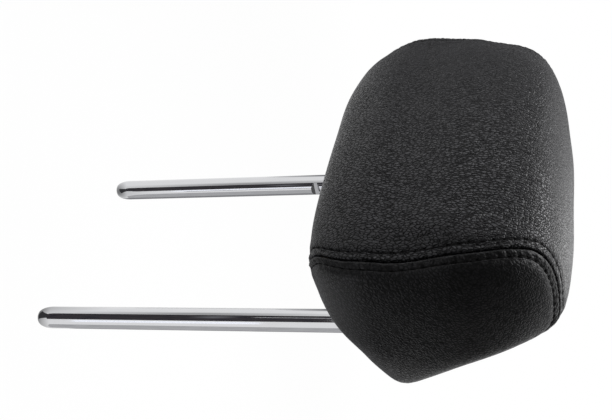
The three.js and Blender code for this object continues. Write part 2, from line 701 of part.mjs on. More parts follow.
const strips = stripSections();
add("closure_strip_front", closureStrip(strips.front), trimPlastic);
add("closure_strip_rear", closureStrip(strips.rear), trimPlastic);

export default headrest;
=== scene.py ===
"""A leather car headrest on chromed posts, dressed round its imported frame.

The frame's own axes hold here: +Z runs up the posts, -Y is the way the padded face looks, and the
origin lies midway between the posts at their lower ends. Lengths are in millimetres in the
classes of the pieces and become metres when a mesh is made. The room is in metres throughout.
"""

from __future__ import annotations

import logging
import math
from dataclasses import dataclass, field
from enum import Enum

import bpy
import numpy as np
from mathutils import Matrix, Vector


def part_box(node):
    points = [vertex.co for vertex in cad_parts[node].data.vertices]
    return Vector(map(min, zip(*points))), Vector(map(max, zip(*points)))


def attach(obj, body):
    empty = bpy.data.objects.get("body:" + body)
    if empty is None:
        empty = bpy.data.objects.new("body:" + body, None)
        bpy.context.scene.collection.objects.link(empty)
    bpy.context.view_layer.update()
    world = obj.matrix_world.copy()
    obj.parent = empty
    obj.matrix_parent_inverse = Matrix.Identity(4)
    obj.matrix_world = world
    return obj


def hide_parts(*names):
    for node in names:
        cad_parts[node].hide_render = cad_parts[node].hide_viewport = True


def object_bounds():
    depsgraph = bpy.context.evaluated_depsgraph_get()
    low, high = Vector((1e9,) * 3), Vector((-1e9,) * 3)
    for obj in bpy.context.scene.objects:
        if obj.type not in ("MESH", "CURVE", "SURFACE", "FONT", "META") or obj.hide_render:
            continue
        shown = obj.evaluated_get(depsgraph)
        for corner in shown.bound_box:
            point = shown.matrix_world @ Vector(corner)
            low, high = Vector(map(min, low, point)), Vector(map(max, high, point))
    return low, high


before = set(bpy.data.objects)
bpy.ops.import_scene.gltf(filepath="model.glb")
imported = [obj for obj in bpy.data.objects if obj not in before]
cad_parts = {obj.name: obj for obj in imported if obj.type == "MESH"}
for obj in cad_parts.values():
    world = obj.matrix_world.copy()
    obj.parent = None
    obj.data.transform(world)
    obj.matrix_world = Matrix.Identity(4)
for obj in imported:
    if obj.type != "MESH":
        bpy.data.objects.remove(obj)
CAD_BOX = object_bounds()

logging.basicConfig(level=logging.INFO, format="%(message)s")
log = logging.getLogger("headrest")

MM = 0.001
BODY = "root"
TINY = 1e-9
FAR_COLUMN = 1000.0

Array = np.ndarray
Triple = tuple[float, float, float]
Colour = Triple
Socket = bpy.types.NodeSocket


class Side(Enum):
    """The two ends of the pad, as the sign of their X."""

    LEFT = -1
    RIGHT = 1


class Row(Enum):
    """The two rows of stitches along a side seam, by the panel that they lie on."""

    CENTRE = 1
    SIDE = -1


class Slot(Enum):
    """The record's material slots, whose names are logged with the new pieces."""

    CHROME = "post_chrome"
    LEATHER = "cover_leather"


def smooth_step(value: Array, low: float, high: float) -> Array:
    """A smooth ramp from 0 at low to 1 at high.

    Args:
        value: Where to read the ramp.
        low: The value at which it leaves 0.
        high: The value at which it reaches 1.

    Returns:
        The ramp's height at each value.
    """
    t = np.clip((value - low) / (high - low), 0.0, 1.0)
    return t * t * (3.0 - 2.0 * t)


def bell(value: Array, width: float) -> Array:
    """A bell curve of height 1 at 0, falling to 0.37 at width."""
    return np.exp(-((value / width) ** 2))


class Ripple:
    """Seeded smooth noise over a plane, which repeats along its first direction.

    Args:
        seed: Picks the noise.
        period: The number of cells after which it repeats.
        rows: The number of cells in the other direction.
    """

    def __init__(self, seed: int, period: int, rows: int = 64) -> None:
        """Draws the cells."""
        self.cells = np.random.default_rng(seed).uniform(-1.0, 1.0, (period, rows))

    def __call__(self, along: Array, over: Array) -> Array:
        """Reads the noise.

        Args:
            along: Place in cells along the repeating direction.
            over: Place in cells along the other one.

        Returns:
            Heights between -1 and 1.
        """
        along, over = np.broadcast_arrays(along, over)
        total = np.zeros(along.shape)
        low_a = np.floor(along).astype(int)
        low_b = np.floor(over).astype(int)
        part_a = along - low_a
        part_b = over - low_b
        part_a = part_a * part_a * (3.0 - 2.0 * part_a)
        part_b = part_b * part_b * (3.0 - 2.0 * part_b)
        for step_a in (0, 1):
            for step_b in (0, 1):
                weight_a = part_a if step_a else 1.0 - part_a
                weight_b = part_b if step_b else 1.0 - part_b
                cell_a = (low_a + step_a) % self.cells.shape[0]
                cell_b = (low_b + step_b) % self.cells.shape[1]
                total += weight_a * weight_b * self.cells[cell_a, cell_b]
        return total


@dataclass
class MeshParts:
    """Points and faces of a mesh in the making, in millimetres."""

    points: list[Array] = field(default_factory=list)
    faces: list[Array] = field(default_factory=list)
    count: int = 0

    def add_points(self, points: Array) -> Array:
        """Adds points and returns their numbers in the same layout.

        Args:
            points: Points, with x, y and z along the last direction.

        Returns:
            Their numbers, one for each point.
        """
        numbers = np.arange(self.count, self.count + points[..., 0].size)
        self.points.append(points.reshape(-1, 3))
        self.count += numbers.size
        return numbers.reshape(points.shape[:-1])

    def add_grid(self, numbers: Array, wrap_rows: bool = False, wrap_columns: bool = False) -> None:
        """Adds quads over a grid of points.

        Args:
            numbers: The grid's point numbers, as rows and columns.
            wrap_rows: Whether the last row joins the first.
            wrap_columns: Whether the last column joins the first.
        """
        if wrap_rows:
            numbers = np.vstack([numbers, numbers[:1]])
        if wrap_columns:
            numbers = np.hstack([numbers, numbers[:, :1]])
        corners = [numbers[:-1, :-1], numbers[:-1, 1:], numbers[1:, 1:], numbers[1:, :-1]]
        self.faces.append(np.stack([corner.ravel() for corner in corners], axis=1))

    def add_face(self, ring: Array) -> None:
        """Adds one face with the given corners, anticlockwise from outside."""
        self.faces.append(ring[None, :])

    def add_fan(self, tip: int, ring: Array) -> None:
        """Adds triangles from one point to a closed ring, seen anticlockwise from outside."""
        self.faces.append(np.stack([np.full(ring.size, tip), ring, np.roll(ring, -1)], axis=1))

    def build(self, name: str, sharp_deg: float = 180.0) -> bpy.types.Object:
        """Makes the Blender object.

        Args:
            name: The piece's name.
            sharp_deg: Edges that turn more than this stay sharp.

        Returns:
            The new object, in the scene.
        """
        points = np.vstack(self.points) * MM
        faces = [tuple(int(number) for number in face) for block in self.faces for face in block]
        mesh = bpy.data.meshes.new(name)
        mesh.from_pydata(points.tolist(), [], faces)
        mesh.validate()
        mesh.shade_smooth()
        if sharp_deg < 180.0:
            mesh.set_sharp_from_angle(angle=math.radians(sharp_deg))
        piece = bpy.data.objects.new(name, mesh)
        bpy.context.scene.collection.objects.link(piece)
        return piece


class Dressing:
    """Hands a finished piece over to the frame."""

    @staticmethod
    def dress(piece: bpy.types.Object, finish: Finish, slot: Slot, *nodes: str) -> None:
        """Gives a piece its finish, its body and the CAD nodes that it stands for.

        Args:
            piece: The piece.
            finish: What it is made of.
            slot: The record's material slot.
            nodes: The CAD nodes that it replaces.
        """
        piece.data.materials.clear()
        piece.data.materials.append(finish.material())
        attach(piece, BODY)
        if nodes:
            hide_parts(*nodes)
        log.info("%s: %d faces, %s", piece.name, len(piece.data.polygons), slot.value)


class NodeBench:
    """A short way to lay out the nodes of a material or of the world.

    Args:
        tree: The node tree to work on.
    """

    def __init__(self, tree: bpy.types.NodeTree) -> None:
        """Puts the coordinates on the bench."""
        self.tree = tree
        self.coordinates = self.add("ShaderNodeTexCoord").outputs
        self.place = self.coordinates["Object"]

    @classmethod
    def emptied(cls, owner: bpy.types.Material | bpy.types.World) -> NodeBench:
        """A bench whose tree has no nodes of its own yet.

        Args:
            owner: The material or world to clear.

        Returns:
            The bench.
        """
        owner.use_nodes = True
        owner.node_tree.nodes.clear()
        return cls(owner.node_tree)

    @property
    def shader(self) -> bpy.types.Node:
        """The material's own shader."""
        return self.tree.nodes["Principled BSDF"]

    def add(self, kind: str, **settings: object) -> bpy.types.Node:
        """Adds a node.

        Args:
            kind: The node's type.
            settings: Its attributes.

        Returns:
            The node.
        """
        node = self.tree.nodes.new(kind)
        for key, value in settings.items():
            setattr(node, key, value)
        return node

    def link(self, source: Socket, target: Socket) -> None:
        """Joins two sockets."""
        self.tree.links.new(source, target)

    def close(self, surface: Socket, output: str = "ShaderNodeOutputMaterial") -> None:
        """Joins the finished surface to a new output."""
        self.link(surface, self.add(output).inputs["Surface"])

    def math(self, operation: str, *values: Socket | float) -> Socket:
        """A value worked out from others.

        Args:
            operation: What is done to them.
            values: Sockets or plain numbers.

        Returns:
            The result.
        """
        node = self.add("ShaderNodeMath", operation=operation)
        for value, target in zip(values, node.inputs):
            if isinstance(value, Socket):
                self.link(value, target)
            else:
                target.default_value = value
        return node.outputs[0]

    def split(self, vector: Socket) -> bpy.types.NodeOutputs:
        """The X, Y and Z of a vector.

        Args:
            vector: The vector.

        Returns:
            Three sockets, by the names of the axes.
        """
        node = self.add("ShaderNodeSeparateXYZ")
        self.link(vector, node.inputs[0])
        return node.outputs

    def mixed(self, factor: Socket, first: Socket, second: Socket) -> Socket:
        """A surface between two.

        Args:
            factor: 0 gives the first surface and 1 the second.
            first: The first surface.
            second: The second surface.

        Returns:
            The surface.
        """
        node = self.add("ShaderNodeMixShader")
        for source, target in zip((factor, first, second), node.inputs):
            self.link(source, target)
        return node.outputs[0]

    def stretched(
        self,
        scale: Triple,
        turn_deg: Triple = (0.0, 0.0, 0.0),
        place: Socket | None = None,
    ) -> Socket:
        """The object's own coordinates, turned and then scaled along each axis.

        Args:
            scale: The factor along X, Y and Z.
            turn_deg: The turn about X, Y and Z.
            place: Other coordinates to use.

        Returns:
            The new coordinates.
        """
        turned = self.add("ShaderNodeMapping")
        turned.inputs["Rotation"].default_value = [math.radians(angle) for angle in turn_deg]
        self.link(place or self.place, turned.inputs["Vector"])
        mapping = self.add("ShaderNodeMapping")
        mapping.inputs["Scale"].default_value = scale
        self.link(turned.outputs["Vector"], mapping.inputs["Vector"])
        return mapping.outputs["Vector"]

    def noise(self, size_mm: float, detail: float = 2.0, scale: Triple = (1.0, 1.0, 1.0)) -> Socket:
        """Smooth noise.

        Args:
            size_mm: The size of its spots.
            detail: How many finer layers it has.
            scale: How it is squeezed along each axis.

        Returns:
            Its value, from 0 to 1.
        """
        node = self.add("ShaderNodeTexNoise")
        node.inputs["Scale"].default_value = 1.0 / (size_mm * MM)
        node.inputs["Detail"].default_value = detail
        self.link(self.stretched(scale), node.inputs["Vector"])
        return node.outputs["Fac"]

    def ramp(
        self,
        source: Socket,
        low: float,
        high: float,
        start: float = 0.0,
        end: float = 1.0,
        kind: str = "LINEAR",
    ) -> Socket:
        """Maps a value from start..end to low..high.

        Args:
            source: The value.
            low: What the start becomes.
            high: What the end becomes.
            start: The value at which the change begins.
            end: The value at which it is over.
            kind: How it changes in between.

        Returns:
            The mapped value.
        """
        node = self.add("ShaderNodeMapRange", interpolation_type=kind)
        node.inputs["From Min"].default_value = start
        node.inputs["From Max"].default_value = end
        node.inputs["To Min"].default_value = low
        node.inputs["To Max"].default_value = high
        self.link(source, node.inputs["Value"])
        return node.outputs["Result"]

    def blend(self, factor: Socket, first: Colour, second: Colour | Socket) -> Socket:
        """A colour between two.

        Args:
            factor: 0 gives the first colour and 1 the second.
            first: The first colour.
            second: The second colour, or a socket that gives it.

        Returns:
            The colour.
        """
        node = self.add("ShaderNodeMix", data_type="RGBA")
        node.inputs[6].default_value = (*first, 1.0)
        if isinstance(second, tuple):
            node.inputs[7].default_value = (*second, 1.0)
        else:
            self.link(second, node.inputs[7])
        self.link(factor, node.inputs[0])
        return node.outputs[2]

    def bump(self, height: Socket, depth_mm: float, normal: Socket | None = None) -> Socket:
        """Turns a height into a bumped normal.

        Args:
            height: The height, from 0 to 1.
            depth_mm: What a height of 1 stands for.
            normal: A bumped normal to add to.

        Returns:
            The new normal.
        """
        node = self.add("ShaderNodeBump")
        node.inputs["Strength"].default_value = 1.0
        node.inputs["Distance"].default_value = depth_mm * MM
        self.link(height, node.inputs["Height"])
        if normal is not None:
            self.link(normal, node.inputs["Normal"])
        return node.outputs["Normal"]


@dataclass(frozen=True)
class Finish:
    """What a piece is made of. Each kind lays out its own nodes."""

    name: str

    def lay_out(self, bench: NodeBench) -> None:
        """Sets the shader and its nodes on a bench."""
        raise NotImplementedError

    def material(self) -> bpy.types.Material:
        """The finish's material, made once.

        Returns:
            The material.
        """
        known = bpy.data.materials.get(self.name)
        if known is not None:
            return known
        material = bpy.data.materials.new(self.name)
        material.use_nodes = True
        self.lay_out(NodeBench(material.node_tree))
        return material


@dataclass(frozen=True)
class LeatherFinish(Finish):
    """Black leather with a fine pebbled grain and a soft sheen.

    Painted shade darkens the grain's valleys: their colour is near black and their reflection is tinted
    almost to black. The grain's rows bow along the pad by `arch`, about the height `arch_middle`, and it
    gets shallower by `smooth_back` from `smooth_start` to `smooth_end` in Y, which thins that painted
    shade there too.
    These places are in metres, as all coordinates of a material are.
    """

    valley_painted_shade: Colour = (0.0006, 0.0006, 0.0007)
    dark: Colour = (0.0212, 0.0212, 0.0226)
    light: Colour = (0.0268, 0.0267, 0.0283)
    cavity_painted_shade: Colour = (0.04, 0.04, 0.04)
    # Tints the sheen on the pebbles slightly blue, a painted blue of the light.
    sheen_painted_blue: Colour = (0.95, 0.95, 1.0)
    pebble_mm: float = 1.5
    pebble_randomness: float = 0.95
    pebble_depth_mm: float = 0.40
    valley_reach: float = 0.22
    warp_mm: float = 3.6
    crease_mm: float = 4.0
    crease_depth_mm: float = 0.03
    crease_stretch: Triple = (1.0, 1.0, 0.55)
    pore_mm: float = 0.35
    pore_depth_mm: float = 0.02
    tone_mm: float = 14.0
    grain_turn_deg: Triple = (0.0, 0.0, 0.0)
    stretch: Triple = (1.0, 1.0, 0.60)
    arch: float = 1.0
    arch_middle: float = 0.265
    gloss_low: float = 0.32
    gloss_high: float = 0.50
    reflectance: float = 0.39
    smooth_back: float = 0.60
    smooth_start: float = -0.046
    smooth_end: float = -0.008

    def _arched(self, bench: NodeBench) -> Socket:
        """The grain's coordinates, whose rows bow as the leather is drawn over the pad.

        Args:
            bench: Where the nodes go.

        Returns:
            The coordinates.
        """
        place = bench.split(bench.place)
        rise = bench.math("SUBTRACT", place["Z"], self.arch_middle)
        square = bench.math("MULTIPLY", rise, rise)
        bowed = bench.math("MULTIPLY_ADD", square, -self.arch, place["X"])
        joined = bench.add("ShaderNodeCombineXYZ")
        for source, target in zip((bowed, place["Y"], place["Z"]), joined.inputs):
            bench.link(source, target)
        return bench.stretched(self.stretch, self.grain_turn_deg, joined.outputs[0])

    def _smoothed(self, bench: NodeBench, height: Socket) -> Socket:
        """Makes the grain and its painted valley shade shallower over the top and the back, where the leather
        lies flatter.

        Args:
            bench: Where the nodes go.
            height: The grain's height.

        Returns:
            The new height.
        """
        depth = bench.split(bench.place)["Y"]
        kept = bench.ramp(depth, 1.0, 1.0 - self.smooth_back, self.smooth_start, self.smooth_end)
        filled = bench.ramp(depth, 0.0, self.smooth_back, self.smooth_start, self.smooth_end)
        return bench.math("MULTIPLY_ADD", height, kept, filled)

    def _pebbles(self, bench: NodeBench) -> Socket:
        """The height of the pebbled grain.

        Args:
            bench: Where the nodes go.

        Returns:
            The height, from 0 in the valleys to 1 on the pebbles.
        """
        warp = bench.add("ShaderNodeTexNoise")
        warp.inputs["Scale"].default_value = 1.0 / (self.warp_mm * MM)
        bench.link(bench.place, warp.inputs["Vector"])
        shifted = bench.add("ShaderNodeVectorMath", operation="MULTIPLY_ADD")
        shifted.inputs[1].default_value = (self.pebble_mm * MM,) * 3
        bench.link(warp.outputs["Color"], shifted.inputs[0])
        bench.link(self._arched(bench), shifted.inputs[2])
        pebbles = bench.add("ShaderNodeTexVoronoi", feature="DISTANCE_TO_EDGE")
        pebbles.inputs["Scale"].default_value = 1.0 / (self.pebble_mm * MM)
        pebbles.inputs["Randomness"].default_value = self.pebble_randomness
        bench.link(shifted.outputs["Vector"], pebbles.inputs["Vector"])
        height = bench.ramp(pebbles.outputs["Distance"], 0.0, 1.0, 0.0, self.valley_reach)
        return self._smoothed(bench, height)

    def lay_out(self, bench: NodeBench) -> None:
        """Sets the shader and its nodes.

        Args:
            bench: Where the nodes go.
        """
        inputs = bench.shader.inputs
        pebbles = self._pebbles(bench)
        creases = bench.noise(self.crease_mm, 3.0, self.crease_stretch)
        normal = bench.bump(creases, self.crease_depth_mm)
        normal = bench.bump(pebbles, self.pebble_depth_mm, normal)
        normal = bench.bump(bench.noise(self.pore_mm), self.pore_depth_mm, normal)
        bench.link(normal, inputs["Normal"])
        top = bench.blend(bench.noise(self.tone_mm, 4.0), self.dark, self.light)
        # Painted shade: the valleys take a near-black colour and a reflection tinted nearly to black.
        bench.link(bench.blend(pebbles, self.valley_painted_shade, top), inputs["Base Color"])
        # The pebbles' sheen is tinted slightly blue, a painted blue of the light.
        bench.link(bench.blend(pebbles, self.cavity_painted_shade, self.sheen_painted_blue), inputs["Specular Tint"])
        bench.link(bench.ramp(pebbles, self.gloss_high, self.gloss_low), inputs["Roughness"])
        inputs["Specular IOR Level"].default_value = self.reflectance


@dataclass(frozen=True)
class ChromeFinish(Finish):
    """Polished chrome with faint handling marks."""

    colour: Colour = (0.70, 0.705, 0.72)
    shade: Colour = (0.64, 0.645, 0.66)
    cloud_mm: float = 22.0
    rub_mm: float = 3.0
    rub_stretch: Triple = (1.0, 1.0, 0.08)
    rub_depth_mm: float = 0.0015
    wave_mm: float = 30.0
    wave_stretch: Triple = (1.0, 1.0, 0.5)
    wave_depth_mm: float = 0.03
    smoothest: float = 0.03
    roughest: float = 0.11

    def lay_out(self, bench: NodeBench) -> None:
        """Sets the shader and its nodes.

        Args:
            bench: Where the nodes go.
        """
        inputs = bench.shader.inputs
        cloud = bench.noise(self.cloud_mm, 4.0)
        bench.link(bench.blend(cloud, self.colour, self.shade), inputs["Base Color"])
        rub = bench.noise(self.rub_mm, 3.0, self.rub_stretch)
        bench.link(bench.ramp(rub, self.smoothest, self.roughest), inputs["Roughness"])
        waves = bench.noise(self.wave_mm, 1.0, self.wave_stretch)
        normal = bench.bump(waves, self.wave_depth_mm)
        bench.link(bench.bump(rub, self.rub_depth_mm, normal), inputs["Normal"])
        inputs["Metallic"].default_value = 1.0


@dataclass(frozen=True)
class PlasticFinish(Finish):
    """Moulded plastic with a fine spark-eroded texture."""

    dark: Colour = (0.008, 0.008, 0.0085)
    light: Colour = (0.014, 0.014, 0.0145)
    grain_mm: float = 0.6
    grain_depth_mm: float = 0.05
    tone_mm: float = 9.0
    smoothest: float = 0.40
    roughest: float = 0.55

    def lay_out(self, bench: NodeBench) -> None:
        """Sets the shader and its nodes.

        Args:
            bench: Where the nodes go.
        """
        inputs = bench.shader.inputs
        grain = bench.noise(self.grain_mm, 3.0)
        bench.link(bench.bump(grain, self.grain_depth_mm), inputs["Normal"])
        tone = bench.noise(self.tone_mm, 3.0)
        bench.link(bench.blend(tone, self.dark, self.light), inputs["Base Color"])
        bench.link(bench.ramp(tone, self.smoothest, self.roughest), inputs["Roughness"])


@dataclass(frozen=True)
class FoamFinish(Finish):
    """Moulded open-cell foam."""

    dark: Colour = (0.50, 0.42, 0.24)
    light: Colour = (0.66, 0.58, 0.36)
    cell_mm: float = 1.1
    cell_depth_mm: float = 0.4
    roughness: float = 0.95

    def lay_out(self, bench: NodeBench) -> None:
        """Sets the shader and its nodes.

        Args:
            bench: Where the nodes go.
        """
        inputs = bench.shader.inputs
        cells = bench.noise(self.cell_mm, 4.0)
        bench.link(bench.bump(cells, self.cell_depth_mm), inputs["Normal"])
        bench.link(bench.blend(cells, self.dark, self.light), inputs["Base Color"])
        inputs["Roughness"].default_value = self.roughness


@dataclass(frozen=True)
class ZincFinish(Finish):
    """Zinc-plated steel."""

    dark: Colour = (0.46, 0.47, 0.50)
    light: Colour = (0.62, 0.63, 0.65)
    flake_mm: float = 1.5
    flake_depth_mm: float = 0.01
    smoothest: float = 0.28
    roughest: float = 0.42

    def lay_out(self, bench: NodeBench) -> None:
        """Sets the shader and its nodes.

        Args:
            bench: Where the nodes go.
        """
        inputs = bench.shader.inputs
        flakes = bench.noise(self.flake_mm, 3.0)
        bench.link(bench.blend(flakes, self.dark, self.light), inputs["Base Color"])
        bench.link(bench.ramp(flakes, self.smoothest, self.roughest), inputs["Roughness"])
        bench.link(bench.bump(flakes, self.flake_depth_mm), inputs["Normal"])
        inputs["Metallic"].default_value = 1.0


@dataclass(frozen=True)
class ThreadFinish(Finish):
    """Twisted black sewing thread."""

    dark: Colour = (0.0025, 0.0025, 0.0028)
    light: Colour = (0.0080, 0.0078, 0.0080)
    fibre_mm: float = 0.3
    fibre_depth_mm: float = 0.08
    roughness: float = 0.6
    reflectance: float = 0.12

    def lay_out(self, bench: NodeBench) -> None:
        """Sets the shader and its nodes.

        Args:
            bench: Where the nodes go.
        """
        inputs = bench.shader.inputs
        fibre = bench.noise(self.fibre_mm, 3.0)
        bench.link(bench.blend(fibre, self.dark, self.light), inputs["Base Color"])
        bench.link(bench.bump(fibre, self.fibre_depth_mm), inputs["Normal"])
        inputs["Roughness"].default_value = self.roughness
        inputs["Specular IOR Level"].default_value = self.reflectance


LEATHER = LeatherFinish("black_leather")
# The end panels' leather is darker and has less sheen than the centre panel's: painted shade for the +X end,
# which the lamps leave in shade; the -X end takes it too.
END_LEATHER_PAINTED_SHADE = LeatherFinish(
    "black_leather_side",
    valley_painted_shade=(0.007, 0.007, 0.0072),
    dark=(0.0155, 0.0155, 0.0161),
    light=(0.0185, 0.0185, 0.0192),
    cavity_painted_shade=(0.55, 0.55, 0.55),
    pebble_depth_mm=0.15,
    valley_reach=0.26,
    grain_turn_deg=(45.0, 0.0, 0.0),
    arch=0.0,
    gloss_low=0.30,
    reflectance=0.26,
    smooth_back=0.0,
)
CHROME = ChromeFinish("polished_chrome")
TRIM = PlasticFinish("black_trim_plastic")
CARRIER = PlasticFinish(
    "carrier_plastic",
    dark=(0.02, 0.02, 0.021),
    light=(0.032, 0.032, 0.033),
    grain_mm=0.8,
    smoothest=0.50,
    roughest=0.65,
)
FOAM = FoamFinish("moulded_foam")
ZINC = ZincFinish("zinc_plate")
THREAD = ThreadFinish("black_thread")


@dataclass
class PadShape:
    """The pad's outer surface: a side profile that fades into the two ends.

    A place on it is given by `around`, from 0 to 1 along the profile from the closure under the
    pad forward, and `across`, from -2 to 2: the centre panel lies from -1 to 1, and each end's
    middle is at -2 or 2. A rise is measured up from the pad's base, a setback forward from the
    posts, and a taper is the share of the half width that is lost.
    """

    base: float = 196.0
    height: float = 137.0
    half_width: float = 123.4
    front_reach: float = 86.5
    centre_setback: float = 38.0
    face_shape: tuple[tuple[float, float], ...] = ((11, 4), (1.5, 30), (2, 50.5), (0, 85))
    face_top_corner: tuple[float, float] = (10, 12.5)
    top_front_setback: float = 34.0
    top_rear_setback: float = 14.5
    top_rear_drop: float = 2.0
    back_middle_rise: float = 84.0
    rear_reach: float = 19.5
    rear_corner_rise: float = 41.0
    closure_setback: float = 19.0
    closure_rise: float = 20.0
    belly_setback: float = 42.5
    belly_rise: float = 1.0
    widest_rise: float = 39.0
    face_crown: float = 12.6
    crown_run: float = 50.0
    side_exponent: float = 6.3
    front_exponent: float = 14.5
    rear_exponent: float = 8.2
    fade_half_run: float = 25.0
    top_taper: float = 0.235
    top_taper_power: float = 2.5
    bottom_taper: float = 0.21
    taper_limit: float = 1.2
    rear_taper: float = 0.125
    rear_taper_start: float = 16.5
    rear_taper_run: float = 90.0
    seam_share: float = 0.93
    hidden_seam_share: float = 0.86
    seam_inward_turn: tuple[float, float] = (-120.0, -95.0)
    seam_outward_turn: tuple[float, float] = (50.0, 72.0)
    samples: int = 2400
    span_samples: int = 200
    rounding: float = 3.5

    def __post_init__(self) -> None:
        """Works out the profile's samples."""
        self.centre = np.array([-self.centre_setback, self.base + self.height / 2])
        self.profile = self._even_profile()
        self.length = self._length(self.profile)

    def _corners(self) -> Array:
        """The points that the profile runs through.

        Returns:
            Y and Z of each.
        """
        face = [(back - self.front_reach, rise) for back, rise in self.face_shape]
        top_back, top_drop = self.face_top_corner
        points = [
            (-self.closure_setback, self.closure_rise),
            (-self.belly_setback, self.belly_rise),
            *face,
            (top_back - self.front_reach, self.height - top_drop),
            (-self.top_front_setback, self.height),
            (-self.top_rear_setback, self.height - self.top_rear_drop),
            (0.0, self.back_middle_rise),
            (self.rear_reach, self.rear_corner_rise),
        ]
        return np.array(points) + np.array([0.0, self.base])

    @staticmethod
    def _length(loop: Array) -> float:
        """The length of a closed loop of points."""
        return float(np.linalg.norm(np.roll(loop, -1, axis=0) - loop, axis=1).sum())

    def _even_profile(self) -> Array:
        """Draws a closed centripetal curve through the corners.

        Returns:
            Its points, evenly spaced and slightly rounded.
        """
        corners = self._corners()
        count = len(corners)
        curve = []
        for i in range(count):
            p0, p1, p2, p3 = (corners[(i + k) % count] for k in (-1, 0, 1, 2))
            gaps = [np.linalg.norm(b - a) ** 0.5 for a, b in ((p0, p1), (p1, p2), (p2, p3))]
            t0, t1, t2, t3 = np.cumsum([0.0] + gaps)
            t = np.linspace(t1, t2, self.span_samples, endpoint=False)[:, None]
            a1 = (t1 - t) / (t1 - t0) * p0 + (t - t0) / (t1 - t0) * p1
            a2 = (t2 - t) / (t2 - t1) * p1 + (t - t1) / (t2 - t1) * p2
            a3 = (t3 - t) / (t3 - t2) * p2 + (t - t2) / (t3 - t2) * p3
            b1 = (t2 - t) / (t2 - t0) * a1 + (t - t0) / (t2 - t0) * a2
            b2 = (t3 - t) / (t3 - t1) * a2 + (t - t1) / (t3 - t1) * a3
            curve.append((t2 - t) / (t2 - t1) * b1 + (t - t1) / (t2 - t1) * b2)
        loop = np.vstack(curve)
        closed = np.vstack([loop, loop[:1]])
        run = np.concatenate([[0.0], np.cumsum(np.linalg.norm(np.diff(closed, axis=0), axis=1))])
        places = np.linspace(0.0, run[-1], self.samples, endpoint=False)
        even = np.stack([np.interp(places, run, closed[:, axis]) for axis in (0, 1)], axis=1)
        return self._rounded(even, run[-1])

    def _rounded(self, loop: Array, length: float) -> Array:
        """Rounds a loop over a few millimetres without shrinking it.

        Args:
            loop: Evenly spaced points.
            length: The loop's length.

        Returns:
            The rounded points.
        """
        cycles = np.fft.fftfreq(self.samples, length / self.samples)
        keep = np.exp(-0.5 * (2.0 * math.pi * cycles * self.rounding) ** 2)
        keep = keep * (2.0 - keep)
        return np.stack([np.fft.ifft(np.fft.fft(loop[:, axis]) * keep).real for axis in (0, 1)], axis=1)

    def profile_at(self, around: Array) -> Array:
        """Reads the profile.

        Args:
            around: Places along it.

        Returns:
            Y and Z of each place, along the last direction.
        """
        place = np.mod(around, 1.0) * self.samples
        low = np.floor(place).astype(int)
        part = (place - low)[..., None]
        return self.profile[low % self.samples] * (1.0 - part) + self.profile[(low + 1) % self.samples] * part

    def _width_at(self, y: Array, z: Array) -> Array:
        """Half the pad's width at places in its side view.

        Args:
            y: How far back each place is.
            z: How high it is.

        Returns:
            The half width at each place.
        """
        widest = self.base + self.widest_rise
        up = np.clip((z - widest) / (self.height - self.widest_rise), 0.0, self.taper_limit)
        down = np.clip((widest - z) / self.widest_rise, 0.0, self.taper_limit)
        back = np.clip((y + self.front_reach - self.rear_taper_start) / self.rear_taper_run, 0.0, 1.0)
        taper = self.top_taper * up**self.top_taper_power
        taper = taper + self.bottom_taper * down**2 + self.rear_taper * back**2
        return self.half_width * (1.0 - taper)

    def _seam_at(self, profile: Array) -> Array:
        """Where the seam runs, which lies further in where it isn't seen.

        Args:
            profile: Y and Z of places along the profile.

        Returns:
            The seam's share of the half width at each place.
        """
        turn = np.degrees(np.arctan2(profile[..., 1] - self.centre[1], profile[..., 0] - self.centre[0]))
        inward = smooth_step(turn, *self.seam_inward_turn)
        hidden = inward * (1.0 - smooth_step(turn, *self.seam_outward_turn))
        return self.seam_share + (self.hidden_seam_share - self.seam_share) * hidden

    def point(self, around: Array, across: Array) -> Array:
        """Points of the surface.

        Args:
            around: Places along the profile.
            across: Places from one end to the other.

        Returns:
            X, Y and Z of each point, along the last direction.
        """
        around, across = np.broadcast_arrays(np.asarray(around, float), np.asarray(across, float))
        profile = self.profile_at(around)
        middle_y = self.centre[0]
        back = smooth_step(profile[..., 0], middle_y - self.fade_half_run, middle_y + self.fade_half_run)
        power = self.front_exponent + (self.rear_exponent - self.front_exponent) * back
        seam = self._seam_at(profile)
        reach = np.abs(across)
        share = np.clip(seam * np.minimum(reach, 1.0), 0.0, 1.0)
        radial = (1.0 - share**self.side_exponent) ** (1.0 / power)
        outer_radial = radial * np.clip(2.0 - reach, 0.0, 1.0)
        outer_share = (1.0 - outer_radial**power) ** (1.0 / self.side_exponent)
        radial = np.where(reach > 1.0, outer_radial, radial)
        share = np.where(reach > 1.0, outer_share, share)
        flat = self.centre + (profile - self.centre) * radial[..., None]
        facing = np.clip((middle_y - profile[..., 0]) / self.crown_run, 0.0, 1.0)
        crown = self.face_crown * facing * (1.0 - share**2) * radial
        x = np.sign(across) * share * self._width_at(flat[..., 0], flat[..., 1])
        return np.stack([x, flat[..., 0] - crown, flat[..., 1]], axis=-1)

    def normal(self, around: Array, across: Array) -> Array:
        """Outward normals of the surface.

        Args:
            around: Places along the profile.
            across: Places from one end to the other.

        Returns:
            The normal at each place, of length 1.
        """
        step = 1e-3
        along = self.point(around + step, across) - self.point(around - step, across)
        after = self.point(around, np.minimum(across + step, 2.0))
        before = self.point(around, np.maximum(across - step, -2.0))
        normal = np.cross(after - before, along)
        size = np.linalg.norm(normal, axis=-1, keepdims=True)
        outward = np.zeros_like(normal)
        outward[..., 0] = np.sign(across)
        return np.where(size > TINY, normal / np.maximum(size, TINY), outward)


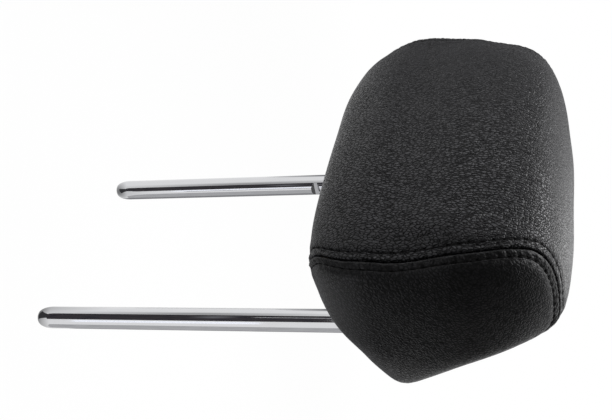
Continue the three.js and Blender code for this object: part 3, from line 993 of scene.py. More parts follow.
@dataclass
class SeamRelief:
    """How the leather rises and sinks beside a side seam, in millimetres off the smooth surface."""

    centre_stitch_offset: float = 5.3
    side_stitch_offset: float = 4.9
    stitch_pitch: float = 5.4
    fold_depth: float = 1.7
    fold_width: float = 0.42
    fold_power: float = 1.3
    crest_height: float = 0.34
    crest_offset: float = 1.5
    crest_width: float = 1.4
    band_height: float = 0.16
    band_middle: float = 0.55
    band_width: float = 0.45
    groove_depth: float = 0.85
    groove_width: float = 0.50
    groove_between: float = 0.35
    shoulder_height: float = 0.30
    shoulder_width: float = 3.4
    pucker_seed: int = 11
    pucker_cells: int = 260
    pucker_height: float = 0.32
    pucker_slant: float = 0.55
    pucker_run: float = 2.6
    drag_seed: int = 23
    drag_cells: int = 190
    drag_height: float = 0.20
    drag_reach: float = 15.0
    drag_start: tuple[float, float] = (0.2, 2.0)
    drag_slant: float = 0.03
    drag_run: float = 20.0
    drag_on_straights: float = 0.3
    pinch_height: float = 0.22
    pinch_width: float = 2.0
    side_noise_row: float = 30.0

    def __post_init__(self) -> None:
        """Seeds the noises."""
        self.pucker = Ripple(self.pucker_seed, self.pucker_cells)
        self.drag = Ripple(self.drag_seed, self.drag_cells)

    def row_offset(self, away: Array) -> Array:
        """How far the row of stitches lies from the fold, on either side of it."""
        return np.where(away > 0, self.centre_stitch_offset, self.side_stitch_offset)

    def height(self, away: Array, along: Array, length: float, corner: Array) -> Array:
        """The relief at places beside the seam.

        Args:
            away: Distance from the seam, positive on the centre panel and negative on the end.
            along: Distance along the seam.
            length: The seam's whole length.
            corner: How strongly the seam turns there, from 0 to 1.

        Returns:
            The height at each place.
        """
        distance = np.abs(away)
        turns = along / length
        offset = self.row_offset(away)
        row = distance - offset
        other_side = np.where(away > 0, 0.0, self.side_noise_row)
        holes = 0.5 + 0.5 * np.cos(2.0 * math.pi * along / self.stitch_pitch)
        fold = -self.fold_depth * np.exp(-((distance / self.fold_width) ** self.fold_power))
        crest = self.crest_height * bell(distance - self.crest_offset, self.crest_width)
        band = self.band_height * bell(distance - self.band_middle * offset, self.band_width * offset)
        deep = self.groove_between + (1.0 - self.groove_between) * holes
        groove = -self.groove_depth * deep * bell(row, self.groove_width)
        shoulder = self.shoulder_height * bell(row - self.shoulder_width, self.shoulder_width)
        slant = turns * self.pucker_cells + self.pucker_slant * away
        between = self.pucker(slant, distance / self.pucker_run + other_side)
        puckers = self.pucker_height * between * bell(distance - 0.5 * offset, self.pucker_run)
        bent = self.drag_on_straights + (1.0 - self.drag_on_straights) * corner
        pull = np.exp(-np.clip(row, 0.0, None) / (self.drag_reach * bent))
        pull = pull * smooth_step(row, *self.drag_start)
        slant = turns * self.drag_cells + self.drag_slant * away
        dragged = self.drag(slant, distance / self.drag_run + other_side)
        drags = self.drag_height * bent * dragged * pull
        pinch = -self.pinch_height * holes * bell(row, self.pinch_width)
        return fold + crest + band + groove + shoulder + puckers + drags + pinch


@dataclass
class Swell:
    """Slight unevenness of the foam under the leather, as a few long waves in space."""

    height: float = 0.10
    shortest: float = 38.0
    longest: float = 90.0
    count: int = 14
    seed: int = 5

    def __post_init__(self) -> None:
        """Draws the waves."""
        draw = np.random.default_rng(self.seed)
        heading = draw.normal(size=(self.count, 3))
        heading /= np.linalg.norm(heading, axis=1, keepdims=True)
        lengths = draw.uniform(self.shortest, self.longest, self.count)
        self.waves = 2.0 * math.pi * heading / lengths[:, None]
        self.phases = draw.uniform(0.0, 2.0 * math.pi, self.count)

    def at(self, points: Array) -> Array:
        """The height at points of the surface."""
        total = np.sin(points @ self.waves.T + self.phases).sum(axis=-1)
        return self.height * total / math.sqrt(self.count / 2)


@dataclass(frozen=True)
class Press:
    """A place where this pad is a little fuller or flatter than its even shape.

    Args:
        centre: Where it is.
        reach: How far it reaches.
        height: How much it adds in the middle.
        upright: How many times further it reaches up and down.
    """

    centre: Triple
    reach: float
    height: float
    upright: float = 1.0

    def at(self, points: Array) -> Array:
        """The height at points of the surface."""
        apart = (points - np.array(self.centre)) / np.array([1.0, 1.0, self.upright])
        return self.height * np.exp(-(apart**2).sum(axis=-1) / self.reach**2)


PAD_PRESSES = (
    Press((62.0, -22.0, 333.0), 24.0, -1.3),
    Press((98.0, -15.0, 314.0), 13.0, -0.6),
    Press((109.0, -7.0, 277.0), 18.0, 1.0),
    Press((108.0, 9.0, 242.0), 9.0, 1.0),
    Press((113.0, -20.0, 226.0), 20.0, 2.0),
    Press((95.0, -64.0, 200.0), 7.0, 0.8),
    Press((-38.0, -82.0, 199.0), 30.0, 1.4),
    Press((-101.0, -82.0, 212.0), 12.0, -0.7),
    Press((-116.0, -82.0, 245.0), 14.0, 2.4),
    Press((-110.0, -84.0, 287.0), 18.0, -1.7),
    Press((-88.0, -73.0, 321.0), 20.0, -0.9),
    Press((112.0, -82.0, 262.0), 18.0, -1.8),
    Press((95.0, -90.0, 264.0), 9.5, 1.6, 3.6),
)


@dataclass
class Cover:
    """The sewn cover: a centre panel and two side panels.

    Args:
        shape: The pad's surface.
        relief: What the seams do to it.
        swell: How uneven the foam under it is.
    """

    shape: PadShape
    relief: SeamRelief
    swell: Swell
    thickness: float = 2.5
    seam_sink: float = 0.8
    seam_gap: float = 0.3
    closure_gap: float = 1.6
    rows: int = 620
    near_seam: float = 13.0
    fine_steps: tuple[tuple[float, float], ...] = ((0.15, 0.25), (2.4, 0.45), (4.2, 0.27), (6.4, 0.6))
    band_columns: int = 20
    end_columns: int = 18
    inner_columns: int = 14
    column_growth: float = 1.35
    walk_samples: int = 500
    bend_reach: int = 8
    bend_margin: int = 12
    bend_full_deg: float = 30.0
    swell_start: float = 2.0
    swell_full: float = 30.0
    sink_width: float = 2.0
    sharp_deg: float = 60.0
    fill: float = 0.95

    def __post_init__(self) -> None:
        """Works out the seam's run and how it turns."""
        edge = self.closure_gap / 2 / self.shape.length
        self.around = np.linspace(edge, 1.0 - edge, self.rows)
        seam = self.shape.point(self.around, np.ones(self.rows))
        steps = np.linalg.norm(np.diff(seam, axis=0), axis=1)
        self.along = np.concatenate([[0.0], np.cumsum(steps)])
        self.seam_length = float(self.along[-1] + np.linalg.norm(seam[0] - seam[-1]))
        self.corner = self._turning(seam)

    def _turning(self, seam: Array) -> Array:
        """How strongly the seam bends at each row.

        Args:
            seam: The seam's points.

        Returns:
            A value from 0 on straights to 1 at corners.
        """
        ahead = np.roll(seam, -self.bend_reach, axis=0) - seam
        behind = seam - np.roll(seam, self.bend_reach, axis=0)
        sizes = np.linalg.norm(ahead, axis=1) * np.linalg.norm(behind, axis=1)
        cosine = (ahead * behind).sum(axis=1) / sizes
        bend = np.degrees(np.arccos(np.clip(cosine, -1.0, 1.0)))
        margin = self.bend_margin
        kernel = np.hanning(2 * margin + 1)
        looped = np.concatenate([bend[-margin:], bend, bend[:margin]])
        eased = np.convolve(looped, kernel / kernel.sum(), "valid")
        return np.clip(eased / self.bend_full_deg, 0.0, 1.0)

    def _columns(self, far: int) -> Array:
        """Column places from the seam.

        Args:
            far: The number of columns beyond the near ones.

        Returns:
            Near places in millimetres, then shares of what is left, added to `FAR_COLUMN`.
        """
        near = []
        place = self.seam_gap / 2
        while place < self.near_seam:
            near.append(place)
            place += [step for start, step in self.fine_steps if start <= place + TINY][-1]
        share = (np.arange(1, far + 1) / far) ** self.column_growth
        return np.concatenate([near, FAR_COLUMN + share])

    def _inner_columns(self) -> Array:
        """The same for the unseen inner face, which needs few."""
        share = np.arange(1, self.inner_columns + 1) / self.inner_columns
        return np.concatenate([[self.seam_gap / 2, self.near_seam / 2], FAR_COLUMN + share])

    def walk(self, start: float, end: float, places: Array) -> tuple[Array, Array]:
        """Walks from the seam over the surface in each row.

        Args:
            start: The across value at the seam.
            end: The across value at the far end.
            places: Column places, as `_columns` gives them.

        Returns:
            The across value and the distance from the seam, for each row and column.
        """
        fine = start + (end - start) * np.linspace(0.0, 1.0, self.walk_samples)
        line = self.shape.point(self.around[:, None], fine[None, :])
        steps = np.linalg.norm(np.diff(line, axis=1), axis=2)
        run = np.concatenate([np.zeros((self.rows, 1)), np.cumsum(steps, axis=1)], axis=1)
        across = np.empty((self.rows, places.size))
        distance = np.empty((self.rows, places.size))
        for row in range(self.rows):
            total = run[row, -1]
            far = self.near_seam + (total - self.near_seam) * (places - FAR_COLUMN)
            distance[row] = np.where(places >= FAR_COLUMN, far, places)
            across[row] = np.interp(distance[row], run[row], fine)
        return across, distance

    def _outer(self, across: Array, away: Array) -> Array:
        """Points of a panel's outer face.

        Args:
            across: Across values for each row and column.
            away: Signed distances from the seam.

        Returns:
            The points, for each row and column.
        """
        around = self.around[:, None]
        smooth = self.shape.point(around, across)
        height = self.relief.height(away, self.along[:, None], self.seam_length, self.corner[:, None])
        eased = smooth_step(np.abs(away), self.swell_start, self.swell_full)
        height = height + self.swell.at(smooth) * eased
        height = height + sum(press.at(smooth) for press in PAD_PRESSES)
        return smooth + self.shape.normal(around, across) * height[..., None]

    def _inner(self, across: Array, away: Array) -> Array:
        """Points of a panel's inner face.

        Args:
            across: Across values for each row and column.
            away: Signed distances from the seam.

        Returns:
            The points, for each row and column.
        """
        around = self.around[:, None]
        depth = self.thickness + self.seam_sink * bell(away, self.sink_width)
        return self.shape.point(around, across) - self.shape.normal(around, across) * depth[..., None]

    @staticmethod
    def _mirrored(half: Array, flip: float) -> Array:
        """Whole rows from the half between the seam and the pad's middle."""
        return np.hstack([half[:, :-1] * flip, half[:, -1:], half[:, -2::-1]])

    def centre_panel(self) -> bpy.types.Object:
        """Builds the band round face, top, back and underside.

        Returns:
            The panel.
        """
        across, distance = self.walk(1.0, 0.0, self._columns(self.band_columns))
        outer = self._outer(self._mirrored(across, -1.0), self._mirrored(distance, 1.0))
        across, distance = self.walk(1.0, 0.0, self._inner_columns())
        inner = self._inner(self._mirrored(across, -1.0), self._mirrored(distance, 1.0))
        parts = MeshParts()
        top = parts.add_points(outer)
        low = parts.add_points(inner)
        parts.add_grid(top)
        parts.add_grid(low[:, ::-1])
        parts.add_grid(np.stack([low[:, 0], top[:, 0]], axis=1))
        parts.add_grid(np.stack([top[:, -1], low[:, -1]], axis=1))
        parts.add_face(np.concatenate([top[0], low[0, ::-1]]))
        parts.add_face(np.concatenate([top[-1, ::-1], low[-1]]))
        return parts.build("cover_centre_panel", self.sharp_deg)

    def side_panel(self, side: Side) -> bpy.types.Object:
        """Builds the panel at one end of the pad.

        Args:
            side: The end.

        Returns:
            The panel.
        """
        across, distance = self.walk(1.0, 2.0, self._columns(self.end_columns)[:-1])
        outer = self._outer(across * side.value, -distance)
        across, distance = self.walk(1.0, 2.0, self._inner_columns()[:-1])
        inner = self._inner(across * side.value, -distance)
        parts = MeshParts()
        top = parts.add_points(outer)
        low = parts.add_points(inner)
        pole = self.shape.point(np.array([0.0]), np.array([2.0 * side.value]))
        top_pole = int(parts.add_points(pole)[0])
        low_pole = int(parts.add_points(pole - np.array([side.value * self.thickness, 0.0, 0.0]))[0])
        if side is Side.LEFT:
            top, low = top[::-1], low[::-1]
        parts.add_grid(top, wrap_rows=True)
        parts.add_grid(low[:, ::-1], wrap_rows=True)
        parts.add_grid(np.stack([low[:, 0], top[:, 0]], axis=1), wrap_rows=True)
        parts.add_fan(top_pole, top[::-1, -1])
        parts.add_fan(low_pole, low[:, -1])
        return parts.build(f"cover_side_panel_{side.name.lower()}", self.sharp_deg)

    def build(self) -> None:
        """Builds and dresses the panels."""
        band = self.centre_panel()
        Dressing.dress(band, LEATHER, Slot.LEATHER, "centre_panel")
        for side in Side:
            panel = self.side_panel(side)
            Dressing.dress(panel, END_LEATHER_PAINTED_SHADE, Slot.LEATHER, f"side_panel_{side.name.lower()}")


@dataclass
class StitchRow:
    """A row of top stitches, each a bent piece of thread that dives into a hole at both ends.

    Args:
        cover: The cover that it is sewn into.
        side: The pad's end.
        row: Which of the two rows along the seam it is.
    """

    cover: Cover
    side: Side
    row: Row
    thread_radius: float = 0.42
    thinnest: float = 0.72
    dive: float = 0.85
    dive_power: float = 0.55
    bed_in_groove: float = 0.45
    bed_on_shoulder: float = 0.40
    sides: int = 8
    steps: int = 9

    def _line(self) -> tuple[Array, Array, Array]:
        """Lays the row's path on the leather.

        Returns:
            Its points, their distances along the seam and the leather's normals.
        """
        cover = self.cover
        relief = cover.relief
        end = 0.0 if self.row is Row.CENTRE else 2.0
        offset = float(relief.row_offset(np.array(self.row.value)))
        across, _ = cover.walk(1.0, end, np.array([offset]))
        across = across[:, 0] * self.side.value
        normal = cover.shape.normal(cover.around, across)
        line = cover.shape.point(cover.around, across)
        bed = self.bed_on_shoulder * relief.shoulder_height - self.bed_in_groove * relief.groove_depth
        bed = bed + sum(press.at(line) for press in PAD_PRESSES)
        return line + normal * bed[:, None], cover.along, normal

    def build(self) -> bpy.types.Object:
        """Sews the row.

        Returns:
            The thread.
        """
        path, along, normals = self._line()
        pitch = self.cover.relief.stitch_pitch
        count = int(along[-1] // pitch)
        t = np.linspace(0.0, 1.0, self.steps)
        lift = self.dive * np.sin(math.pi * t) ** self.dive_power - self.dive
        radius = self.thinnest + (1.0 - self.thinnest) * np.sin(math.pi * t) ** 0.5
        radius = self.thread_radius * radius
        turn = np.linspace(0.0, 2.0 * math.pi, self.sides, endpoint=False)
        parts = MeshParts()
        for number in range(count):
            run = (number + t) * pitch
            middle = np.stack([np.interp(run, along, path[:, axis]) for axis in range(3)], axis=1)
            up = np.stack([np.interp(run, along, normals[:, axis]) for axis in range(3)], axis=1)
            up /= np.linalg.norm(up, axis=1, keepdims=True)
            middle = middle + up * lift[:, None]
            tangent = np.gradient(middle, axis=0)
            tangent /= np.linalg.norm(tangent, axis=1, keepdims=True)
            beside = np.cross(tangent, up)
            beside /= np.linalg.norm(beside, axis=1, keepdims=True)
            over = np.cross(beside, tangent)
            ring = np.cos(turn)[None, :, None] * beside[:, None] + np.sin(turn)[None, :, None] * over[:, None]
            tube = parts.add_points(middle[:, None] + ring * radius[:, None, None])
            parts.add_grid(tube[:, ::-1], wrap_columns=True)
            first = int(parts.add_points(middle[:1])[0])
            last = int(parts.add_points(middle[-1:])[0])
            parts.add_fan(first, tube[0, ::-1])
            parts.add_fan(last, tube[-1])
        piece = parts.build(f"topstitch_{self.row.name.lower()}_{self.side.name.lower()}")
        Dressing.dress(piece, THREAD, Slot.LEATHER)
        return piece


@dataclass
class Armature:
    """The bent tube whose two ends are the posts."""

    diameter: float = 14.0
    nose_length: float = 10.0
    nose_flat_radius: float = 3.2
    crank_deg: float = 30.0
    crank_radius: float = 25.0
    crank_height: float = 240.0
    bar_rise: float = 50.0
    bar_corner_radius: float = 28.0
    notch_height: float = 157.0
    notch_depth: float = 2.0
    notch_floor: float = 2.4
    notch_run: float = 5.0
    notch_clearance: float = 15.0
    crank_run: float = 12.0
    post_slack: float = 0.01
    sides: int = 96
    nose_points: int = 14
    shank_points: int = 24
    notch_points: int = 61
    neck_points: int = 10
    crank_steps: int = 14
    corner_steps: int = 20
    sharp_deg: float = 24.0

    def __post_init__(self) -> None:
        """Reads the post spacing from the frame."""
        low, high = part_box("armature")
        self.half_spacing = (high.x - low.x) / MM / 2 - self.diameter / 2

    @staticmethod
    def _bend(start: Array, corner: Array, end: Array, radius: float, steps: int) -> Array:
        """An arc between two straights that would meet at a corner.

        Args:
            start: A point of the first straight.
            corner: Where they would meet.
            end: A point of the second straight.
            radius: The arc's radius.
            steps: Its number of steps.

        Returns:
            Points along the arc.
        """
        back = (start - corner) / np.linalg.norm(start - corner)
        ahead = (end - corner) / np.linalg.norm(end - corner)
        half = math.acos(float(np.clip(back @ ahead, -1.0, 1.0))) / 2
        middle = (back + ahead) / np.linalg.norm(back + ahead)
        centre = corner + middle * radius / math.sin(half)
        first = corner + back * radius / math.tan(half) - centre
        last = corner + ahead * radius / math.tan(half) - centre
        sweep = math.acos(float(np.clip(first @ last / radius**2, -1.0, 1.0)))
        t = np.linspace(0.0, 1.0, steps + 1)[:, None]
        return centre + (np.sin((1 - t) * sweep) * first + np.sin(t * sweep) * last) / math.sin(sweep)

    def _route(self) -> tuple[Array, Array]:
        """Runs along the tube from the left tip to the right one.

        Returns:
            Points of its centreline, and its radius at each.
        """
        lean = math.radians(self.crank_deg)
        up = np.array([0.0, -math.sin(lean), math.cos(lean)])
        foot = np.array([-self.half_spacing, 0.0, 0.0])
        crank = foot + np.array([0.0, 0.0, self.crank_height])
        top = crank + up * self.bar_rise
        across = top * np.array([-1.0, 1.0, 1.0])
        turn = np.linspace(0.0, math.pi / 2, self.nose_points)
        nose = self.nose_length * (1.0 - np.cos(turn))
        radius = self.diameter / 2
        nose_radius = self.nose_flat_radius + (radius - self.nose_flat_radius) * np.sin(turn)
        low = self.notch_height - self.notch_run
        high = self.notch_height + self.notch_run
        shank = np.linspace(self.nose_length, low, self.shank_points)
        notched = np.linspace(low, high, self.notch_points)
        neck = np.linspace(high, self.crank_height - self.crank_run, self.neck_points)
        heights = np.concatenate([nose, shank[1:], notched[1:], neck[1:]])
        straight = foot + heights[:, None] * np.array([0.0, 0.0, 1.0])
        cranked = self._bend(foot, crank, top, self.crank_radius, self.crank_steps)
        corner = self._bend(crank, top, across, self.bar_corner_radius, self.corner_steps)
        rise = np.vstack([straight, cranked, corner])
        radii = np.concatenate([nose_radius, np.full(len(rise) - nose.size, radius)])
        fall = (rise * np.array([-1.0, 1.0, 1.0]))[::-1]
        return np.vstack([rise, fall]), np.concatenate([radii, radii[::-1]])

    def _rings(self) -> Array:
        """Puts rings of points round the centreline and presses the notch into the left post.

        Returns:
            The rings' points.
        """
        centres, radii = self._route()
        tangent = np.gradient(centres, axis=0)
        tangent /= np.linalg.norm(tangent, axis=1, keepdims=True)
        lean = math.radians(self.crank_deg) / 2
        sideways = np.array([0.0, math.cos(lean), math.sin(lean)])
        first = sideways - (tangent @ sideways)[:, None] * tangent
        first /= np.linalg.norm(first, axis=1, keepdims=True)
        second = np.cross(tangent, first)
        turn = np.linspace(0.0, 2.0 * math.pi, self.sides, endpoint=False)
        spokes = np.cos(turn)[None, :, None] * first[:, None] + np.sin(turn)[None, :, None] * second[:, None]
        rings = centres[:, None] + spokes * radii[:, None, None]
        from_notch = np.abs(rings[..., 2] - self.notch_height)
        floor = -self.half_spacing + self.diameter / 2 - self.notch_depth
        limit = floor + np.maximum(from_notch - self.notch_floor / 2, 0.0)
        on_left = centres[:, None, 0] < -self.half_spacing + self.post_slack
        near = on_left & (rings[..., 2] < self.crank_height - self.notch_clearance)
        rings[..., 0] = np.where(near, np.minimum(rings[..., 0], limit), rings[..., 0])
        return rings

    def build(self) -> bpy.types.Object:
        """Builds and dresses the tube.

        Returns:
            The tube.
        """
        rings = self._rings()
        parts = MeshParts()
        tube = parts.add_points(rings)
        parts.add_grid(tube, wrap_columns=True)
        first = int(parts.add_points(rings[0].mean(axis=0)[None])[0])
        last = int(parts.add_points(rings[-1].mean(axis=0)[None])[0])
        parts.add_fan(first, tube[0, ::-1])
        parts.add_fan(last, tube[-1])
        piece = parts.build("posts_and_crossbar", self.sharp_deg)
        Dressing.dress(piece, CHROME, Slot.CHROME, "armature")
        return piece


class InnerParts:
    """The CAD pieces that keep their own meshes: carrier, screws, foam and underside trims."""

    def build(self) -> None:
        """Gives each piece its finish."""
        for name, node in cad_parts.items():
            if name.startswith("carrier_screw"):
                self._finish(node, ZINC)
            elif name.startswith("carrier"):
                self._finish(node, CARRIER)
            elif name == "foam_pad":
                self._finish(node, FOAM)
            elif name.startswith(("post_bezel", "closure_strip")):
                self._finish(node, TRIM)

    @staticmethod
    def _finish(node: bpy.types.Object, finish: Finish) -> None:
        """Puts a finish on a CAD piece.

        Args:
            node: The piece.
            finish: What it is made of.
        """
        node.data.materials.clear()
        node.data.materials.append(finish.material())
        log.info("%s keeps its CAD mesh, in %s", node.name, finish.name)


@dataclass
class PhotoCamera:
    """The camera at the photograph's angle, in millimetres, rolled so that the posts point left."""

    position: Triple = (473.1, -383.4, 342.7)
    look: Triple = (-0.76878, 0.57430, -0.28137)
    roll_deg: float = 88.78
    focal_px: float = 966.4
    image_width_px: float = 612.0
    sensor_mm: float = 36.0

    def build(self) -> None:
        """Makes the camera and gives it to the scene."""
        forward = Vector(self.look).normalized()
        level = forward.cross(Vector((0.0, 0.0, 1.0))).normalized()
        upright = level.cross(forward)
        roll = math.radians(self.roll_deg)
        right = level * math.cos(roll) + upright * math.sin(roll)
        up = upright * math.cos(roll) - level * math.sin(roll)
        turn = Matrix((right, up, -forward)).transposed().to_4x4()
        data = bpy.data.cameras.new("photo_camera")
        data.sensor_width = self.sensor_mm
        data.lens = self.focal_px * self.sensor_mm / self.image_width_px
        camera = bpy.data.objects.new("photo_camera", data)
        camera.matrix_world = Matrix.Translation(Vector(self.position) * MM) @ turn
        bpy.context.scene.collection.objects.link(camera)
        bpy.context.scene.camera = camera
        log.info("camera: %.1f mm lens", data.lens)


@dataclass(frozen=True)
class Card:
    """A studio card beside the object, which only shapes its light and reflections.

    It stands at a bearing and distance from the object's axis, in metres, and faces it. Its tone is
    clouded between a low and a high colour, and it may fade out towards its edges. A flag also keeps
    fill light off, and a lying card is level.
    """

    name: str
    bearing_deg: float
    away: float
    height: float
    size: tuple[float, float]
    low: Colour
    high: Colour
    softness: float = 0.0
    flag: bool = False
    cloud: float = 0.05
    cloud_edges: tuple[float, float] = (0.35, 0.65)
    lying: bool = False

    def _fading(self, bench: NodeBench, surface: Socket) -> Socket:
        """Lets the card fade out towards its edges.

        Args:
            bench: Where its nodes go.
            surface: The card's surface.

        Returns:
            The same surface, clearer towards the edges.
        """
        middle = bench.split(bench.place)
        start = 0.5 * (1.0 - self.softness)
        shares = [bench.ramp(bench.math("ABSOLUTE", middle[axis]), 1.0, 0.0, start, 0.5) for axis in "XY"]
        clear = bench.add("ShaderNodeBsdfTransparent").outputs[0]
        return bench.mixed(bench.math("MULTIPLY", *shares), clear, surface)

    def _material(self) -> bpy.types.Material:
        """The card's clouded tone, with its fading edges.

        Returns:
            The material.
        """
        material = bpy.data.materials.new(self.name)
        bench = NodeBench.emptied(material)
        tone = bench.ramp(bench.noise(self.cloud / MM), 0.0, 1.0, *self.cloud_edges)
        glow = bench.add("ShaderNodeEmission")
        bench.link(bench.blend(tone, self.low, self.high), glow.inputs["Color"])
        surface = glow.outputs[0]
        if self.softness > 0.0:
            surface = self._fading(bench, surface)
        bench.close(surface)
        return material

    def build(self) -> None:
        """Makes the card, upright or lying, and turned towards the object's axis."""
        turn = math.radians(self.bearing_deg)
        place = Vector((self.away * math.cos(turn), self.away * math.sin(turn), self.height))
        bpy.ops.mesh.primitive_plane_add(size=1.0, location=place)
        card = bpy.context.object
        card.name = self.name
        card.scale = (*self.size, 1.0)
        lean = 0.0 if self.lying else math.radians(90.0)
        card.rotation_euler = (lean, 0.0, turn + math.radians(90.0))
        card.data.materials.append(self._material())
        card.visible_diffuse = self.flag
        card.visible_camera = False
        card.visible_shadow = False


@dataclass(frozen=True)
class Softbox:
    """A large soft lamp aimed at the pad, in metres. Without sheen it shows in no reflection."""

    name: str
    position: Triple
    width: float
    height: float
    watts: float
    sheen: bool = True

    def build(self, target: Vector) -> None:
        """Makes the lamp.

        Args:
            target: Where it points, in metres.
        """
        data = bpy.data.lights.new(self.name, "AREA")
        data.shape = "RECTANGLE"
        data.size = self.width
        data.size_y = self.height
        data.energy = self.watts
        lamp = bpy.data.objects.new(self.name, data)
        lamp.location = self.position
        aim = (target - Vector(self.position)).normalized()
        lamp.rotation_euler = aim.to_track_quat("-Z", "Y").to_euler()
        lamp.visible_glossy = self.sheen
        bpy.context.scene.collection.objects.link(lamp)


LAMPS = (
    Softbox("softbox_top", (-0.34, -0.09, 1.19), 0.70, 0.90, 9.7),
    Softbox("softbox_back", (-0.25, 0.85, 0.55), 0.70, 0.60, 5.0, sheen=False),
)

BLACK = (0.0, 0.0, 0.0)
NEAR_BLACK = (0.01, 0.01, 0.01)

CARDS = (
    Card(
        "card_camera", -47.0, 0.26, -0.005, (0.26, 0.30),
        low=(0.015, 0.018, 0.028), high=(0.075, 0.066, 0.066), flag=True,
    ),
    Card(
        "card_strip", -51.0, 0.24, 0.115, (0.012, 0.07),
        low=(0.35, 0.35, 0.36), high=(0.9, 0.9, 0.92), cloud=0.02,
    ),
    Card(
        "card_smear", -50.0, 0.235, 0.047, (0.13, 0.045),
        low=(0.16, 0.16, 0.18), high=(0.24, 0.24, 0.25), softness=1.0,
    ),
    Card(
        "card_face", -58.0, 0.52, 0.55, (0.80, 0.80),
        low=BLACK, high=NEAR_BLACK, softness=0.15, flag=True,
    ),
    Card(
        "card_key", -118.0, 0.60, 0.37, (0.60, 0.74),
        low=(1.7, 1.7, 1.73), high=(1.9, 1.9, 1.93), softness=0.8, flag=True,
    ),
    Card(
        "card_ground", -47.0, 0.15, -0.155, (0.16, 0.22),
        low=(0.03, 0.03, 0.035), high=(0.06, 0.06, 0.06), lying=True,
    ),
    Card(
        "card_side", 30.0, 0.50, 0.45, (0.90, 0.70),
        low=BLACK, high=NEAR_BLACK, softness=0.15,
    ),
    Card(
        "card_back", 58.0, 0.28, 0.0, (0.36, 0.32),
        low=(0.42, 0.42, 0.43), high=(0.60, 0.60, 0.61),
    ),
    Card(
        "card_rear", 120.0, 0.28, 0.0, (0.34, 0.32),
        low=(0.20, 0.20, 0.21), high=(0.34, 0.34, 0.35),
    ),
    Card(
        "card_left", 178.0, 0.90, 0.12, (1.40, 0.62),
        low=(0.20, 0.20, 0.21), high=(0.23, 0.23, 0.24), softness=0.40,
    ),
    Card(
        "card_rim", 142.0, 1.00, 0.76, (0.36, 0.30),
        low=(3.6, 3.6, 3.6), high=(3.9, 3.9, 3.9), softness=0.8,
    ),
    Card(
        "card_left_high", 178.0, 0.92, 0.62, (1.40, 0.64),
        low=(0.34, 0.34, 0.35), high=(0.37, 0.37, 0.38), softness=0.40,
    ),
    Card(
        "card_shade", -84.0, 0.28, 0.0, (0.26, 0.32),
        low=(0.34, 0.34, 0.35), high=(0.44, 0.44, 0.44), softness=0.9,
    ),
    Card(
        "card_sparkle", -8.0, 0.40, -0.06, (0.12, 0.20),
        low=(0.75, 0.80, 0.92), high=(1.75, 1.75, 1.8), cloud=0.02,
    ),
)


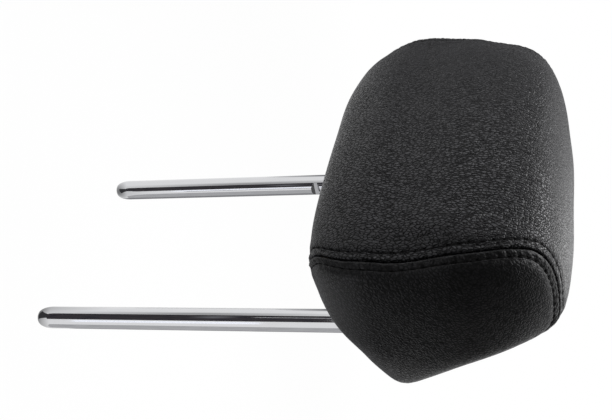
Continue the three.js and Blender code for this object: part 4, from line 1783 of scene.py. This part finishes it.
@dataclass
class Studio:
    """The white room: its world, its floor, soft lamps and cards, in metres.

    The world is white to the camera and in reflections, and gives diffuse surfaces only `fill`. Its
    wall towards +X is in shade, though diffuse surfaces still get `shaded_fill` of it. The floor
    glows white far off and keeps the object's shadow near it, and in reflections its glow is dimmed
    near the object, a painted shade of the floor there.
    """

    floor_z: float = -0.16
    floor_size: float = 12.0
    floor_paint: float = 0.8
    floor_glow: float = 0.94
    floor_near: float = 0.6
    floor_far: float = 1.6
    painted_shade_near: float = 0.04
    painted_shade_far: float = 0.34
    painted_shade_tone: float = 0.22
    fill: float = 0.6
    shade_start: float = -0.30
    shade_end: float = 0.22
    shaded_wall: float = 0.10
    shaded_fill: float = 0.45

    def _world(self) -> None:
        """A white background, a softer fill on diffuse surfaces, and one wall in shade."""
        world = bpy.data.worlds.new("studio")
        bpy.context.scene.world = world
        bench = NodeBench.emptied(world)
        rays = bench.add("ShaderNodeLightPath").outputs
        seen = bench.math("MAXIMUM", rays["Is Camera Ray"], rays["Is Glossy Ray"])
        seen = bench.math("MAXIMUM", seen, rays["Is Transmission Ray"])
        heading = bench.split(bench.coordinates["Generated"])["X"]
        edges = (self.shade_start, self.shade_end)
        wall = bench.ramp(heading, 1.0, self.shaded_wall, *edges, kind="SMOOTHSTEP")
        least = bench.math("MULTIPLY", rays["Is Diffuse Ray"], self.shaded_fill)
        wall = bench.math("MAXIMUM", wall, least)
        background = bench.add("ShaderNodeBackground")
        bench.link(bench.math("MAXIMUM", wall, rays["Is Camera Ray"]), background.inputs["Color"])
        bench.link(bench.ramp(seen, self.fill, 1.0), background.inputs["Strength"])
        bench.close(background.outputs[0], "ShaderNodeOutputWorld")

    def _floor_material(self) -> bpy.types.Material:
        """White paint that glows where it is seen, with painted shade dimming its glow in reflections near
        the object, and is clear from below.

        Returns:
            The material.
        """
        material = bpy.data.materials.new("studio_floor")
        bench = NodeBench.emptied(material)
        rays = bench.add("ShaderNodeLightPath").outputs
        reach = bench.add("ShaderNodeVectorMath", operation="LENGTH")
        bench.link(bench.place, reach.inputs[0])
        away = reach.outputs["Value"]
        paint = bench.add("ShaderNodeBsdfDiffuse")
        paint.inputs["Color"].default_value = (*(self.floor_paint,) * 3, 1.0)
        glow = bench.add("ShaderNodeEmission")
        # Painted shade: in reflections the floor's glow is dimmer near the object.
        painted_floor_shade = bench.ramp(away, self.painted_shade_tone, 1.0, self.painted_shade_near, self.painted_shade_far)
        bench.link(bench.math("MAXIMUM", painted_floor_shade, rays["Is Camera Ray"]), glow.inputs["Strength"])
        seen = bench.math("MAXIMUM", rays["Is Camera Ray"], rays["Is Glossy Ray"])
        spread = bench.ramp(away, self.floor_glow, 1.0, self.floor_near, self.floor_far)
        above = bench.mixed(bench.math("MULTIPLY", seen, spread), paint.outputs[0], glow.outputs[0])
        under = bench.add("ShaderNodeNewGeometry").outputs["Backfacing"]
        clear = bench.add("ShaderNodeBsdfTransparent").outputs[0]
        bench.close(bench.mixed(under, above, clear))
        return material

    def _floor(self) -> None:
        """A white floor that keeps the object's shadow and is clear from below."""
        bpy.ops.mesh.primitive_plane_add(size=self.floor_size, location=(0.0, 0.0, self.floor_z))
        floor = bpy.context.object
        floor.name = "studio_floor"
        floor.data.materials.append(self._floor_material())

    def build(self) -> None:
        """Sets the view transform and lights the scene."""
        bpy.context.scene.view_settings.view_transform = "Standard"
        self._world()
        self._floor()
        target = Vector((CAD_BOX[0] + CAD_BOX[1]) / 2)
        for lamp in LAMPS:
            lamp.build(target)
        for card in CARDS:
            card.build()
        log.info("studio: %d lamps and %d cards", len(LAMPS), len(CARDS))


def main() -> None:
    """Builds the headrest's pieces in order, then the room."""
    PhotoCamera().build()
    cover = Cover(PadShape(), SeamRelief(), Swell())
    cover.build()
    for side in Side:
        for row in Row:
            StitchRow(cover, side, row).build()
    Armature().build()
    InnerParts().build()
    Studio().build()


if __name__ == "__main__":
    main()
